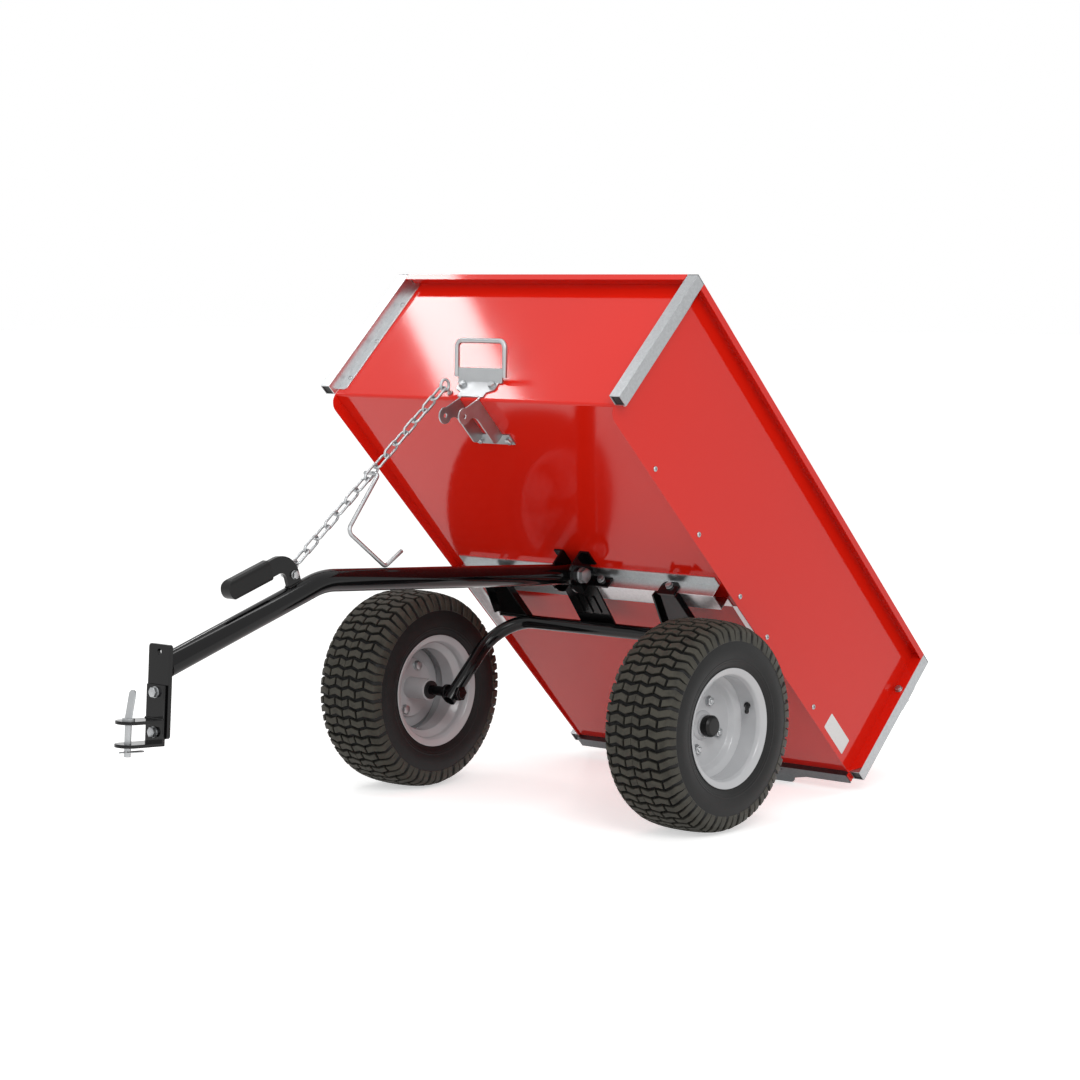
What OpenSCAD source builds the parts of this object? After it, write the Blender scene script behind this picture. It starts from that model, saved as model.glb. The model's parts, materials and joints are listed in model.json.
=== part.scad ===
/* [Stance] */
// Angle between tray floor and rear drawbar with the chain taut, degrees
open_angle = 42.5; // [41:0.5:43]
// Rise of the drawbar to the front edge of the floor when the tray is down, degrees
close_angle = 1.2; // [0.9:0.1:1.3]

/* [Tray] */
// Length of the tray, front wall to rear edge
tray_l = 1075; // [1050:1:1080]
// Width of the tray over the side walls
tray_w = 730; // [700:1:760]
// Height of the walls above the underside of the floor
tray_h = 318; // [290:1:340]
// Thickness of the tray sheet
sheet_t = 1.5; // [1.2:0.1:2]
// Underside of the floor above the wheel axis
floor_z = 262; // [258:1:268]
// Front wall ahead of the wheel axis
tray_front = 602; // [598:1:610]
// Outward width of the top rim
rim_w = 25; // [23:0.5:25]
// Depth of the turned-down lip of the rim
rim_lip = 14; // [10:0.5:18]
// Depth of the side skirt below the floor
skirt_h = 26; // [22:0.5:30]
// Outer radius of the fold between floor and front wall
fold_r = 6; // [4:0.5:10]
// Radius of the lower front corner of the side walls
nose_r = 24; // [15:1:26]

/* [Corner posts] */
// Outer side of the square post
post_size = 25; // [25:0.5:30]
// Wall of the post
post_wall = 2; // [1.5:0.1:2.5]
// Width of a post fin
fin_w = 22; // [18:0.5:26]
// Thickness of a post fin
fin_t = 2; // [1.5:0.1:2.5]
// Gap from the floor fold to the lower end of a fin
fin_low = 14; // [10:0.5:20]
// Corner radius of a fin end
fin_r = 8; // [4:0.5:12]
// Thickness of the end plugs and caps
plug_t = 2; // [1.5:0.1:3]
// Depth of the plug inside the post
plug_in = 8; // [5:0.5:12]
// Head of a fin rivet
rivet_d = 7; // [5:0.5:8]
// Height of a fin rivet head
rivet_h = 1.6; // [1:0.1:2]
// Rows of the rivets as shares of the fin
rivet_shares = [0.06, 0.47, 0.88];

/* [Floor frame] */
// Inset of the cross member from each side wall
member_inset = 27; // [20:1:35]
// Height of the hat section
member_h = 30; // [26:0.5:31]
// Crown width of the hat section
member_crown = 40; // [34:1:44]
// Flange width of the hat section
member_flange = 22; // [18:0.5:26]
// Sheet of the hat section, rails and tail beam
frame_t = 2; // [1.5:0.1:2.5]
// Front web of the cross member ahead of the wheel axis
member_x = 102; // [98:0.5:104]
// Leg of the under-floor rails
rail_leg = 25; // [20:0.5:26]
// Height of the tail beam
beam_h = 12; // [10:0.5:14]
// Depth of the tail beam, along the tray
beam_l = 21; // [18:0.5:26]
// Length of the skid tab behind the floor
skid_l = 50.6; // [46:0.1:56]
// Half width of the skid tab at its tip
skid_tip_w = 195; // [170:1:210]
// Half width of the skid tab at its root
skid_root_w = 250; // [230:1:270]
// Radius of the skid tab corners
skid_r = 20; // [10:1:24]
// Head of a skirt screw
screw_d = 8; // [6:0.5:10]
// Height of a skirt screw head
screw_h = 2; // [1.5:0.1:3]
// Length of a skirt screw behind its head
screw_l = 7; // [5:0.5:9]
// Thread of a skirt screw
screw_shank = 4; // [3:0.5:5]
// Places of the skirt screws as shares of the tray length, from the rear
screw_shares = [0.18, 0.385, 0.5, 0.67, 0.843];

/* [Tailgate] */
// Play of the gate in its channel
gate_play = 0.8; // [0.5:0.1:1.2]
// Height of a pressed rib of the gate
gate_rib_h = 5; // [3:0.5:8]
// Width of a pressed rib of the gate
gate_rib_w = 40; // [30:1:50]
// Places of the gate ribs as shares of the gate height
gate_rib_shares = [0.3, 0.7];
// Grip hole width of the gate
gate_grip_w = 110; // [90:1:130]
// Grip hole height of the gate
gate_grip_h = 34; // [28:1:40]
// Length of the turn latch
latch_l = 74; // [66:1:80]
// Width of the turn latch
latch_w = 22; // [18:0.5:24]
// Thickness of the turn latch
latch_t = 3; // [2:0.5:4]
// Height of the latch pivot as a share of the wall height
latch_share = 0.69; // [0.6:0.01:0.75]
// Bolt of the turn latch
latch_bolt_d = 8; // [6:0.5:8]
// Distance kept between a moving plate and what it passes
pass_gap = 0.6; // [0.4:0.1:1]

/* [Axle] */
// Outer diameter of the axle tube
axle_d = 28; // [26:0.5:30]
// Wall of the axle tube
axle_wall = 2.5; // [2:0.1:3]
// Half distance between the axle legs
leg_y = 258; // [252:1:262]
// Height of the level middle above the wheel axis
arch_h = 202; // [195:1:206]
// Bend radius of the axle tube at its centre line
arch_r = 90; // [80:1:100]
// Length of the leg below the wheel axis
leg_low = 21; // [18:0.5:24]
// Diameter of the spindle
spindle_d = 20; // [18:0.5:20]
// Length of the spindle on the inner side of the leg
spindle_in = 24; // [20:0.5:28]
// Collar of the spindle at the leg
spindle_collar_d = 32; // [28:0.5:34]
// Length of the spindle collar
spindle_collar_l = 8; // [5:0.5:10]
// Plate of the axle brackets and the hinge bracket
bracket_t = 4; // [3:0.5:4.5]
// Centre of an axle bracket from the middle
bracket_y = 226; // [205:1:230]
// Width of an axle bracket at the cross member
bracket_w = 60; // [50:1:70]
// Width of an axle bracket at the axle tube
bracket_foot_w = 96; // [80:1:110]
// Width of the bolt tab of an axle bracket
bracket_tab_w = 44; // [38:1:48]
// Depth of the bent flanks of an axle bracket
flank_h = 20; // [14:0.5:24]

/* [Hinge] */
// Pivot of the drawbar ahead of the wheel axis
pivot_x = 135; // [134:0.5:140]
// Pivot of the drawbar above the wheel axis
pivot_z = 229; // [226:0.5:230]
// Plate of the hinge ears
ear_t = 5; // [4:0.5:6]
// Radius of the hinge ears
ear_r = 36; // [30:0.5:38]
// Play between ears and sleeve, each side
ear_play = 0.4; // [0.3:0.05:0.6]
// Diameter of the pivot bolt
pivot_d = 16; // [14:0.5:18]
// Radial play of the pivot bolt in its sleeve
pivot_play = 0.06; // [0.03:0.01:0.09]
// Outer diameter of the pivot sleeve
sleeve_d = 24; // [22:0.5:26]
// Half width of the hinge bracket base
hinge_base_w = 75; // [68:1:80]
// Half width of the hinge tail plate
hinge_tail_w = 45; // [40:1:50]
// Length of a stiffening rib of the tail plate
hinge_rib_l = 46; // [36:1:56]
// Diameter of a stiffening rib of the tail plate
hinge_rib_d = 8; // [6:0.5:10]

/* [Wheels] */
// Diameter of the tyre
tyre_d = 406; // [400:1:412]
// Section width of the tyre
tyre_w = 165; // [158:1:172]
// Distance between wheel centres
track = 762; // [756:1:768]
// Pairs of block rows around the tyre
tread_rows = 31; // [28:1:36]
// Depth of the tread
tread_depth = 6; // [4:0.5:7]
// Share of a row taken by the cross groove
groove_share = 0.2; // [0.14:0.01:0.28]
// Zigzag of the rows as a share of one row
zig_share = 0.42; // [0.2:0.01:0.5]
// Bead of the tyre as a share of the bead seat
toe_share = 0.75; // [0.6:0.05:0.8]
// Thickness of the tyre wall
tyre_wall = 9; // [7:0.5:11]
// Diameter of the rim flange
flange_d = 229; // [225:0.5:233]
// Diameter of the bead seat
seat_d = 203; // [201:0.5:205]
// Diameter of the rim well
well_d = 176; // [168:1:184]
// Width over the rim flanges
rim_over = 150; // [144:1:154]
// Sheet of the rim
rim_t = 3; // [2.5:0.1:3.5]
// Width of a bead seat
seat_w = 20; // [18:0.5:24]
// Length of the rim well flank
well_slope = 10; // [8:0.5:14]
// Outward offset of the wheel disc from the wheel centre
disc_y = 6; // [2:0.5:12]
// Radius of the dish between disc and well
dish_r = 14; // [10:0.5:18]
// Outer diameter of the hub tube
hub_d = 44; // [40:0.5:48]
// Hub reach on the inner side of the wheel centre
hub_in = 56; // [52:0.5:58]
// Hub reach on the outer side of the wheel centre
hub_out = 18; // [16:0.5:24]
// Diameter of the hub flange
hub_flange_d = 122; // [116:1:126]
// Thickness of the hub flange
hub_flange_t = 6; // [4:0.5:8]
// Bolt circle of the wheel
bolt_circle = 96; // [92:1:98]
// Wheel bolts
bolt_count = 4; // [3:1:5]
// Wheel bolt diameter
wheel_bolt_d = 10; // [8:0.5:11]
// Bush flange diameter
bush_d = 38; // [34:0.5:40]
// Bush flange thickness
bush_t = 4; // [3:0.5:6]
// Bush outer diameter inside the hub
bush_od = 28; // [26:0.5:30]
// Bush length inside the hub
bush_l = 22; // [16:0.5:26]
// Radial running play of bush and spindle
run_play = 0.08; // [0.04:0.01:0.1]
// Hub cap diameter
cap_d = 42; // [38:0.5:44]
// Hub cap length
cap_l = 16; // [13:0.5:20]
// Hub cap wall
cap_wall = 3; // [2:0.5:4]
// Rounded crown of the hub cap as a share of its length
cap_crown_share = 0.3; // [0.2:0.05:0.4]
// Valve stem diameter
valve_d = 9; // [7:0.5:11]
// Valve stem length
valve_l = 34; // [28:1:40]
// Rubber stem of the valve as a share of its length
valve_stem_share = 0.6; // [0.5:0.05:0.7]
// Valve hole outward from the middle of the rim
valve_y = 45; // [40:1:50]
// Place of the valve round the wheel, from the front upwards
valve_turn = 161; // [0:1:359]
// Gap between the valve collar and the curved barrel
valve_gap = 0.6; // [0.5:0.1:1]

/* [Drawbar] */
// Outer diameter of the drawbar tube
bar_d = 42.4; // [40:0.1:43]
// Wall of the drawbar tube
bar_wall = 3; // [2.5:0.1:4]
// Length from pivot to bend
bar_rear_l = 695; // [685:1:705]
// Length from bend to hitch plate
bar_front_l = 405; // [395:1:415]
// Bend of the drawbar, degrees
bar_bend = 21; // [19:0.5:23]
// Bend radius at the centre line
bar_bend_r = 160; // [120:5:220]
// Drawbar end behind the pivot
bar_tail = 14; // [13:0.5:15]

/* [Hitch] */
// Width of the hitch plate
hitch_w = 54; // [48:1:60]
// Thickness of the hitch plate
hitch_t = 8; // [6:0.5:10]
// Hitch plate above the drawbar axis
hitch_up = 42; // [40:0.5:46]
// Hitch plate below the drawbar axis
hitch_down = 121; // [117:1:126]
// Corner radius of the hitch plate
hitch_r = 6; // [4:0.5:10]
// Adjustment hole below the plate's top
adjust_drop = 13; // [11:0.5:14]
// Adjustment hole diameter
adjust_d = 10.5; // [8.5:0.1:11]
// Hitch bolt diameter
hitch_bolt_d = 10; // [8:0.5:11]
// Upper hitch bolt below the drawbar axis
hitch_bolt_z = 41; // [39:0.5:44]
// Distance between the hitch bolts
hitch_bolt_pitch = 69; // [66:0.5:71]
// Clevis plate width
clevis_w = 46; // [42:1:50]
// Clevis plate thickness
clevis_t = 6; // [5:0.5:7]
// Clevis top above the upper bolt
clevis_up = 13; // [11:0.5:14]
// Lower jaw underside below the lower bolt
jaw_drop = 23; // [20:0.5:24]
// Clear height of the jaw
jaw_gap = 34; // [32:0.5:38]
// Hitch pin ahead of the clevis plate
pin_reach = 58; // [54:0.5:64]
// Hitch pin diameter
pin_d = 12; // [10:0.5:13]
// Play of the hitch pin in the jaws
pin_play = 0.4; // [0.3:0.1:0.6]
// Hitch pin below the lower jaw
pin_low = 17; // [14:0.5:20]
// Shoulder of the hitch pin, diameter
pin_head_d = 22; // [19:0.5:24]
// Shoulder of the hitch pin, thickness
pin_head_t = 4; // [3:0.5:6]
// Length of the flat pin handle
pin_grip_l = 52; // [44:1:60]
// Width of the flat pin handle
pin_grip_w = 16; // [14:0.5:20]
// Thickness of the flat pin handle
pin_grip_t = 3; // [2:0.5:4]
// Lean of the flat pin handle, degrees
pin_grip_lean = 10; // [5:1:15]
// Wire of the retaining clip
clip_d = 3; // [2.5:0.1:3.5]
// Straight leg of the clip
clip_l = 46; // [40:1:52]
// Share of the clip leg behind the pin
clip_back_share = 0.6; // [0.55:0.01:0.65]

/* [Hand grip] */
// Start of the grip bar ahead of the bend
grip_x = 54; // [50:1:60]
// Width of the gooseneck bar
grip_w = 31; // [28:0.5:34]
// Thickness of the gooseneck bar
grip_t = 10; // [8:0.5:12]
// Clear height between drawbar tube and bar
grip_gap = 32; // [28:0.5:40]
// Inner radius of the gooseneck
grip_r = 15; // [12:0.5:20]
// Length of the bar beyond the gooseneck
grip_l = 124; // [115:1:135]
// Rubber sleeve length
cover_l = 106; // [95:1:112]
// Rubber sleeve wall
cover_wall = 3.5; // [2.5:0.1:5]
// Rubber sleeve width across
cover_w = 24; // [20:0.5:28]
// Rounding of the sleeve edges
cover_r = 8; // [5:0.5:10]
// Chain bolt diameter
chain_bolt_d = 8; // [6:0.5:9]
// Chain bolt above the drawbar tube
chain_bolt_z = 17; // [15:0.5:20]

/* [Tray latch] */
// Sheet of the latch bracket
latch_plate_t = 3; // [2.5:0.1:4]
// Half width of the latch plate
latch_top_w = 50; // [48:0.5:54]
// Half width of the neck of the latch plate
latch_neck_w = 33; // [30:0.5:36]
// Half width of the foot plate of the latch bracket
latch_foot_w = 46; // [44:1:50]
// Fold of the latch plate above the floor
latch_top_z = 46; // [45:0.5:49]
// Shoulder of the latch plate above the floor
latch_step_z = 26; // [23:0.5:27]
// Length of the flap between the legs of the lifting handle
latch_flap_l = 26; // [22:0.5:28]
// Half distance of the latch bolts
latch_bolt_y = 38; // [36:0.5:40]
// Latch bolts above the floor
latch_bolt_z = 36; // [35:0.5:37]
// Play between drawbar and latch ear, each side
latch_play = 2.5; // [2:0.1:4]
// Lock pin hole ahead of the front wall
latch_reach = 7; // [5:0.5:9]
// Reach of the latch ears behind the front wall
latch_back = 96; // [90:1:100]
// Length of the foot plate behind the latch ears
latch_foot_l = 24; // [20:1:30]
// Height of the latch ears behind the lock pin
latch_arm_h = 29; // [26:0.5:32]
// Rounding of the rear corner of the latch ears
latch_heel = 11; // [8:0.5:13]
// Diameter of the lock pin hole
lock_hole_d = 9; // [8.5:0.1:11]
// Radius of the ear round the lock pin hole
lock_boss_r = 16; // [14:0.5:18]
// Rod of the lifting handle
lift_d = 10; // [8:0.5:12]
// Width over the lifting handle
lift_w = 134; // [126:1:140]
// Reach of the lifting handle
lift_l = 78; // [74:1:82]
// Slope of the lifting handle from the wall, degrees
lift_slope = 45; // [35:1:55]
// Bend radius of the lifting handle
lift_r = 14; // [10:0.5:20]
// Lower end of the lifting handle above the fold of the latch plate
lift_z = 8; // [7:0.5:10]

/* [Chain] */
// Links of the chain
link_count = 16; // [14:2:18]
// Wire of the chain
link_d = 5; // [4:0.5:5.5]
// Outer width of a link
link_w = 21; // [19:0.5:22]
// Play between linked wires
link_play = 0.5; // [0.4:0.1:0.8]
// Room beside the last link on its bolt
link_room = 1.5; // [1:0.1:2]
// Chain eye from the middle
eye_y = 58; // [55:1:62]
// Chain eye above the floor
eye_z = 14; // [10:0.5:18]
// Wire of the chain eye
eye_wire = 6; // [5:0.5:7]
// Inner radius of the chain eye
eye_r = 8; // [7:0.5:10]
// Shank of the chain eye
eye_shank = 9; // [7:0.5:12]
// Gap between the lock pin and what it rests on
rest_gap = 0.3; // [0.25:0.05:0.4]
// Rod of the lock pin
lock_d = 8; // [6:0.5:8]
// Bend radius of the lock pin
lock_r = 12; // [10:0.5:14]
// Stub of the lock pin
lock_stub = 52; // [44:1:60]
// Rise of the lock pin stub, degrees
lock_stub_rise = 34; // [28:1:40]
// Bend of the lock pin ahead of its foot
lock_bend_x = 102; // [90:1:115]
// Bend of the lock pin above its foot
lock_bend_z = 66; // [58:1:74]
// Foot of the lock pin from the pivot
lock_foot_x = 534; // [525:1:545]
// Place of the link that carries the lock pin, as a share of the chain
lock_share = 0.5; // [0.47:0.01:0.53]

/* [Fasteners] */
// Width across flats over bolt diameter
hex_share = 1.65; // [1.5:0.05:1.8]
// Head height over bolt diameter
head_share = 0.65; // [0.6:0.05:0.7]
// Washer diameter over bolt diameter
washer_share = 2; // [1.9:0.05:2.2]
// Washer thickness over bolt diameter
washer_t_share = 0.16; // [0.12:0.01:0.2]
// Bolt diameter of the frame brackets
frame_bolt_d = 8; // [6:0.5:9]
// Bolt diameter of the latch bracket
plate_bolt_d = 8; // [6:0.5:9]
// Swell of a bend over the straight rod
bend_swell = 0.1; // [0.05:0.05:0.2]
// Thread shown past a nut, over bolt diameter
thread_share = 0.3; // [0.2:0.05:0.4]

/* [Hidden] */
$fn = 48;

red = [0.82, 0.13, 0.1];
zinc = [0.74, 0.75, 0.76];
black = [0.06, 0.06, 0.06];
rubber = [0.1, 0.1, 0.1];
rim_grey = [0.72, 0.73, 0.75];

overrun = sheet_t;
wheel_r = tyre_d / 2;
half_w = tray_w / 2;
rear_x = tray_front - tray_l;
top_z = floor_z + tray_h;
post_top = top_z - plug_t;
in_w = half_w - sheet_t;

skid_z = floor_z - beam_h;
skid_x = rear_x - skid_l;
// The tray is tipped until its skid tab stands on the ground
tip_angle = atan2(skid_z, -skid_x) + asin(wheel_r / norm([skid_x, skid_z]));
slope = tip_angle - open_angle;

arm_x = bar_rear_l + bar_front_l * cos(bar_bend);
arm_z = -bar_front_l * sin(bar_bend);
plate_x = arm_x + hitch_t;
clevis_x = plate_x + clevis_t;
bolt_z = [arm_z - hitch_bolt_z, arm_z - hitch_bolt_z - hitch_bolt_pitch];
jaw_low = bolt_z[1] - jaw_drop;
jaw_high = jaw_low + clevis_t + jaw_gap;
pin_x = clevis_x + pin_reach;
jaw_tip = pin_x + clevis_w / 2;

pivot_world_x = pivot_x * cos(tip_angle) - pivot_z * sin(tip_angle);
front_world_x = pivot_world_x + jaw_tip * cos(slope) - jaw_low * sin(slope);
rear_world_x = (rear_x - post_size) * cos(tip_angle) - top_z * sin(tip_angle);
shift_x = -(front_world_x + rear_world_x) / 2;

ear_in = bar_d / 2 + ear_play;
latch_ear_in = bar_d / 2 + latch_play;
latch_face = tray_front + latch_plate_t;
latch_foot = tray_front - latch_back;
latch_fold = floor_z + latch_top_z;
lock_x = tray_front + latch_reach;
lock_rise = (lock_x - pivot_x) * sin(close_angle);
lock_z = pivot_z + lock_rise - bar_d / 2 - lock_hole_d / 2 - latch_play / 2;
gate_l = post_size - 2 * fin_t - 2 * gate_play;
gate_x = rear_x - fin_t - gate_play;
latch_z = floor_z + tray_h * latch_share;
latch_y = half_w + post_size / 2;

function unit(v) = v / norm(v);
function turn_y(p, a) = [p[0] * cos(a) + p[2] * sin(a), p[1], p[2] * cos(a) - p[0] * sin(a)];
function from_tray(p) = turn_y(p, -tip_angle) + [shift_x, 0, wheel_r];
function from_bar(p) = from_tray([pivot_x, 0, pivot_z] + turn_y(p, open_angle));
function from_arm(p) = [bar_rear_l, 0, 0] + turn_y(p, bar_bend);

chain_bolt_at = [grip_x + grip_w * 0.4, 0, bar_d / 2 + chain_bolt_z];
chain_side = grip_t / 2 + (washer_t_share + head_share) * chain_bolt_d + link_room + link_d / 2;
eye_at = [tray_front + eye_shank + eye_r + eye_wire, -eye_y, floor_z + eye_z];
chain_to = from_bar(from_arm(chain_bolt_at - [0, chain_side, 0]));
chain_run = chain_to - from_tray(eye_at);
chain_dir = unit(chain_run);
chain_len = norm(chain_run) - eye_r + chain_bolt_d / 2;
link_pitch = chain_len / link_count;
chain_yaw = atan2(chain_dir[1], chain_dir[0]);
chain_drop = acos(chain_dir[2]);

module in_place() {
  translate([shift_x, 0, wheel_r]) children();
}

module in_tray() {
  in_place() rotate([0, -tip_angle, 0]) children();
}

module in_bar() {
  in_tray() translate([pivot_x, 0, pivot_z]) rotate([0, open_angle, 0]) children();
}

module in_arm() {
  in_bar() translate([bar_rear_l, 0, 0]) rotate([0, bar_bend, 0]) children();
}

module both_sides() {
  children();
  mirror([0, 1, 0]) children();
}

module on_side(side) {
  if (side > 0) children();
  else mirror([0, 1, 0]) children();
}

module slab(from, to) {
  translate(from) cube(to - from);
}

module side_plate(y0, y1) {
  translate([0, y1, 0]) rotate([90, 0, 0]) linear_extrude(y1 - y0) children();
}

module cross_plate(x0, x1) {
  translate([x0, 0, 0]) rotate([90, 0, 90]) linear_extrude(x1 - x0) children();
}

module along_y(d, y0, y1) {
  translate([0, y0, 0]) rotate([-90, 0, 0]) cylinder(d = d, h = y1 - y0);
}

module along_x(d, x0, x1) {
  translate([x0, 0, 0]) rotate([0, 90, 0]) cylinder(d = d, h = x1 - x0);
}

module rod(a, b, d) {
  v = b - a;
  translate(a) rotate([0, acos(v[2] / norm(v)), atan2(v[1], v[0])]) cylinder(d = d, h = norm(v));
}

// Rod along a path of points, its corners bent to radius r and a hair thicker than the straight runs
module bent_rod(points, d, r) {
  last = len(points) - 1;
  turns = [for (i = [0:last]) i == 0 || i == last ? 0 :
    acos(unit(points[i] - points[i - 1]) * unit(points[i + 1] - points[i]))];
  sink = sqrt(2 * r * bend_swell) / 2;
  cuts = [for (t = turns) t == 0 ? 0 : r * tan(t / 2) - sink];
  for (i = [0:last - 1]) {
    u = unit(points[i + 1] - points[i]);
    rod(points[i] + u * cuts[i], points[i + 1] - u * cuts[i + 1], d);
  }
  for (i = [1:last - 1]) {
    u = unit(points[i] - points[i - 1]);
    v = unit(points[i + 1] - points[i]);
    e = -unit(v - u * (u * v));
    w = cross(e, u);
    c = points[i] - u * r * tan(turns[i] / 2) - e * r;
    multmatrix([[e[0], u[0], w[0], c[0]], [e[1], u[1], w[1], c[1]], [e[2], u[2], w[2], c[2]], [0, 0, 0, 1]])
      rotate_extrude(angle = turns[i]) translate([r, 0]) circle(d = d + 2 * bend_swell);
  }
}

module rounded_2d(w, h, r) {
  translate([r, 0]) square([w - 2 * r, h]);
  translate([0, r]) square([w, h - 2 * r]);
  for (x = [r, w - r], y = [r, h - r]) translate([x, y]) circle(r);
}

module slot_2d(l, w) {
  translate([-(l - w) / 2, -w / 2]) square([l - w, w]);
  for (s = [-1, 1]) translate([s * (l - w) / 2, 0]) circle(d = w);
}

module hex_head(d) {
  cylinder(d = d * hex_share / cos(30), h = d * head_share, $fn = 6);
}

module washer(d) {
  cylinder(d = d * washer_share, h = d * washer_t_share);
}

// Bolt through a grip: head and washer below zero, washer and nut above the grip
module bolt_set(d, grip) {
  wt = d * washer_t_share;
  translate([0, 0, -wt]) washer(d);
  translate([0, 0, -wt - d * head_share]) hex_head(d);
  cylinder(d = d, h = grip);
  translate([0, 0, grip]) washer(d);
  translate([0, 0, grip + wt]) hex_head(d);
  translate([0, 0, grip + wt + d * head_share]) cylinder(d = d, h = d * thread_share);
}

module bolt_set_y(d, y0, y1) {
  translate([0, y1, 0]) rotate([90, 0, 0]) bolt_set(d, y1 - y0);
}

module bolt_set_x(d, x0, x1) {
  translate([x1, 0, 0]) rotate([0, -90, 0]) bolt_set(d, x1 - x0);
}

// Folded sheet of floor, front wall, rim and lip, seen from the side
module pan_2d() {
  translate([rear_x, floor_z]) square([tray_l - fold_r, sheet_t]);
  translate([tray_front - sheet_t, floor_z + fold_r]) square([sheet_t, tray_h - fold_r]);
  translate([tray_front - sheet_t, top_z - sheet_t]) square([rim_w + sheet_t, sheet_t]);
  translate([tray_front + rim_w - sheet_t, top_z - rim_lip]) square([sheet_t, rim_lip]);
  translate([tray_front - fold_r, floor_z + fold_r]) intersection() {
    difference() {
      circle(fold_r);
      circle(fold_r - sheet_t);
    }
    translate([0, -fold_r]) square(fold_r);
  }
}

module tray_pan() {
  color(red) in_tray() difference() {
    union() {
      side_plate(-in_w, in_w) pan_2d();
      both_sides()
        slab([rear_x, in_w - sheet_t, floor_z - skirt_h + sheet_t],
             [tray_front - nose_r, in_w, floor_z + sheet_t]);
    }
    skirt_holes();
  }
}

module wall_2d() {
  low = floor_z - skirt_h;
  translate([rear_x, low]) square([tray_l - nose_r, skirt_h + tray_h]);
  translate([rear_x, low + nose_r]) square([tray_l, skirt_h + tray_h - nose_r]);
  translate([tray_front - nose_r, low + nose_r]) circle(nose_r);
}

module side_wall(side) {
  color(red) in_tray() difference() {
    on_side(side) {
      side_plate(in_w, half_w) wall_2d();
      slab([rear_x, in_w, top_z - sheet_t], [tray_front, half_w + rim_w, top_z]);
      slab([rear_x, half_w + rim_w - sheet_t, top_z - rim_lip], [tray_front, half_w + rim_w, top_z]);
      slab([rear_x, in_w, floor_z], [rear_x + sheet_t, half_w + rim_w, top_z]);
    }
    skirt_holes();
    both_sides() translate([0, latch_y, latch_z])
      along_x(latch_bolt_d, rear_x - overrun, rear_x + sheet_t + overrun);
  }
}

module side_wall_left() { side_wall(1); }

module side_wall_right() { side_wall(-1); }

module at_screws() {
  both_sides() for (s = screw_shares)
    translate([rear_x + tray_l * s, half_w, floor_z - skirt_h * 0.3]) children();
}

module skirt_screws() {
  color(zinc) in_tray() at_screws() {
    along_y(screw_d, 0, screw_h);
    along_y(screw_shank, -screw_l, 0);
  }
}

module skirt_holes() {
  at_screws() along_y(screw_shank, -screw_l - overrun, overrun);
}

// Fin with rounded ends, standing on its long edge
module fin_2d(l) {
  difference() {
    square([fin_w, l]);
    for (y = [0, l]) translate([0, y]) difference() {
      translate([-fin_r, -fin_r]) square(2 * fin_r);
      translate([fin_r, y == 0 ? fin_r : -fin_r]) circle(fin_r);
      translate([fin_r, -fin_r]) square(2 * fin_r);
    }
  }
}

module post_tube_2d() {
  difference() {
    square(post_size);
    translate([post_wall, post_wall]) square(post_size - 2 * post_wall);
  }
}

fin_h = tray_h - max(sheet_t, plug_t) - fin_low;

module post_front(side) {
  color(zinc) in_tray() on_side(side) {
    translate([tray_front, half_w, floor_z]) linear_extrude(post_top - floor_z) post_tube_2d();
    translate([tray_front, half_w - fin_w, floor_z + fin_low]) rotate([90, 0, 90])
      linear_extrude(fin_t) fin_2d(fin_h);
    translate([tray_front - fin_w, half_w + fin_t, floor_z + fin_low]) rotate([90, 0, 0])
      linear_extrude(fin_t) fin_2d(fin_h);
  }
}

module post_front_left() { post_front(1); }

module post_front_right() { post_front(-1); }

// Rear post: square tube and a gate channel of two inward fins
module post_rear(side) {
  color(zinc) in_tray() on_side(side) difference() {
    union() {
      translate([rear_x - post_size, half_w, floor_z]) linear_extrude(post_top - floor_z) post_tube_2d();
      for (x = [rear_x - post_size, rear_x - fin_t])
        slab([x, half_w - fin_w, floor_z], [x + fin_t, half_w, post_top]);
    }
    translate([0, latch_y, latch_z]) along_x(latch_bolt_d, rear_x - post_size - overrun, rear_x + overrun);
  }
}

module post_rear_left() { post_rear(1); }

module post_rear_right() { post_rear(-1); }

module post_corners() {
  both_sides() for (x = [rear_x - post_size, tray_front]) translate([x, half_w, 0]) children();
}

module post_end() {
  cube([post_size, post_size, plug_t]);
  translate([post_wall, post_wall, plug_t])
    cube([post_size - 2 * post_wall, post_size - 2 * post_wall, plug_in]);
}

module post_plugs() {
  color(black) in_tray() post_corners() translate([0, 0, floor_z - plug_t]) post_end();
}

module post_caps() {
  color(black) in_tray() post_corners() translate([0, 0, top_z]) mirror([0, 0, 1]) post_end();
}

module post_rivets() {
  color(zinc) in_tray() both_sides() for (s = rivet_shares) {
    z = floor_z + fin_low + fin_r + (fin_h - 2 * fin_r) * s;
    translate([tray_front + fin_t, half_w - fin_w / 2, z]) along_x(rivet_d, 0, rivet_h);
    translate([tray_front - fin_w / 2, half_w + fin_t, z]) along_y(rivet_d, 0, rivet_h);
  }
}

// Hat section of the cross member, crown down
module hat_2d() {
  low = floor_z - member_h;
  translate([member_x - member_crown, low]) square([member_crown, frame_t]);
  for (x = [member_x - member_crown, member_x - frame_t]) translate([x, low]) square([frame_t, member_h]);
  for (x = [member_x - member_crown - member_flange, member_x - frame_t])
    translate([x, floor_z - frame_t]) square([member_flange + frame_t, frame_t]);
}

member_w = half_w - member_inset;
tab_z = floor_z - member_h / 2 - frame_t;

module cross_member() {
  color(zinc) in_tray() difference() {
    side_plate(-member_w, member_w) hat_2d();
    for (y = [-1, 1]) for (c = [bracket_y, hinge_bolt_y]) translate([0, y * c, tab_z])
      along_x(frame_bolt_d, member_x - frame_t - overrun, member_x + overrun);
  }
}

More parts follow.
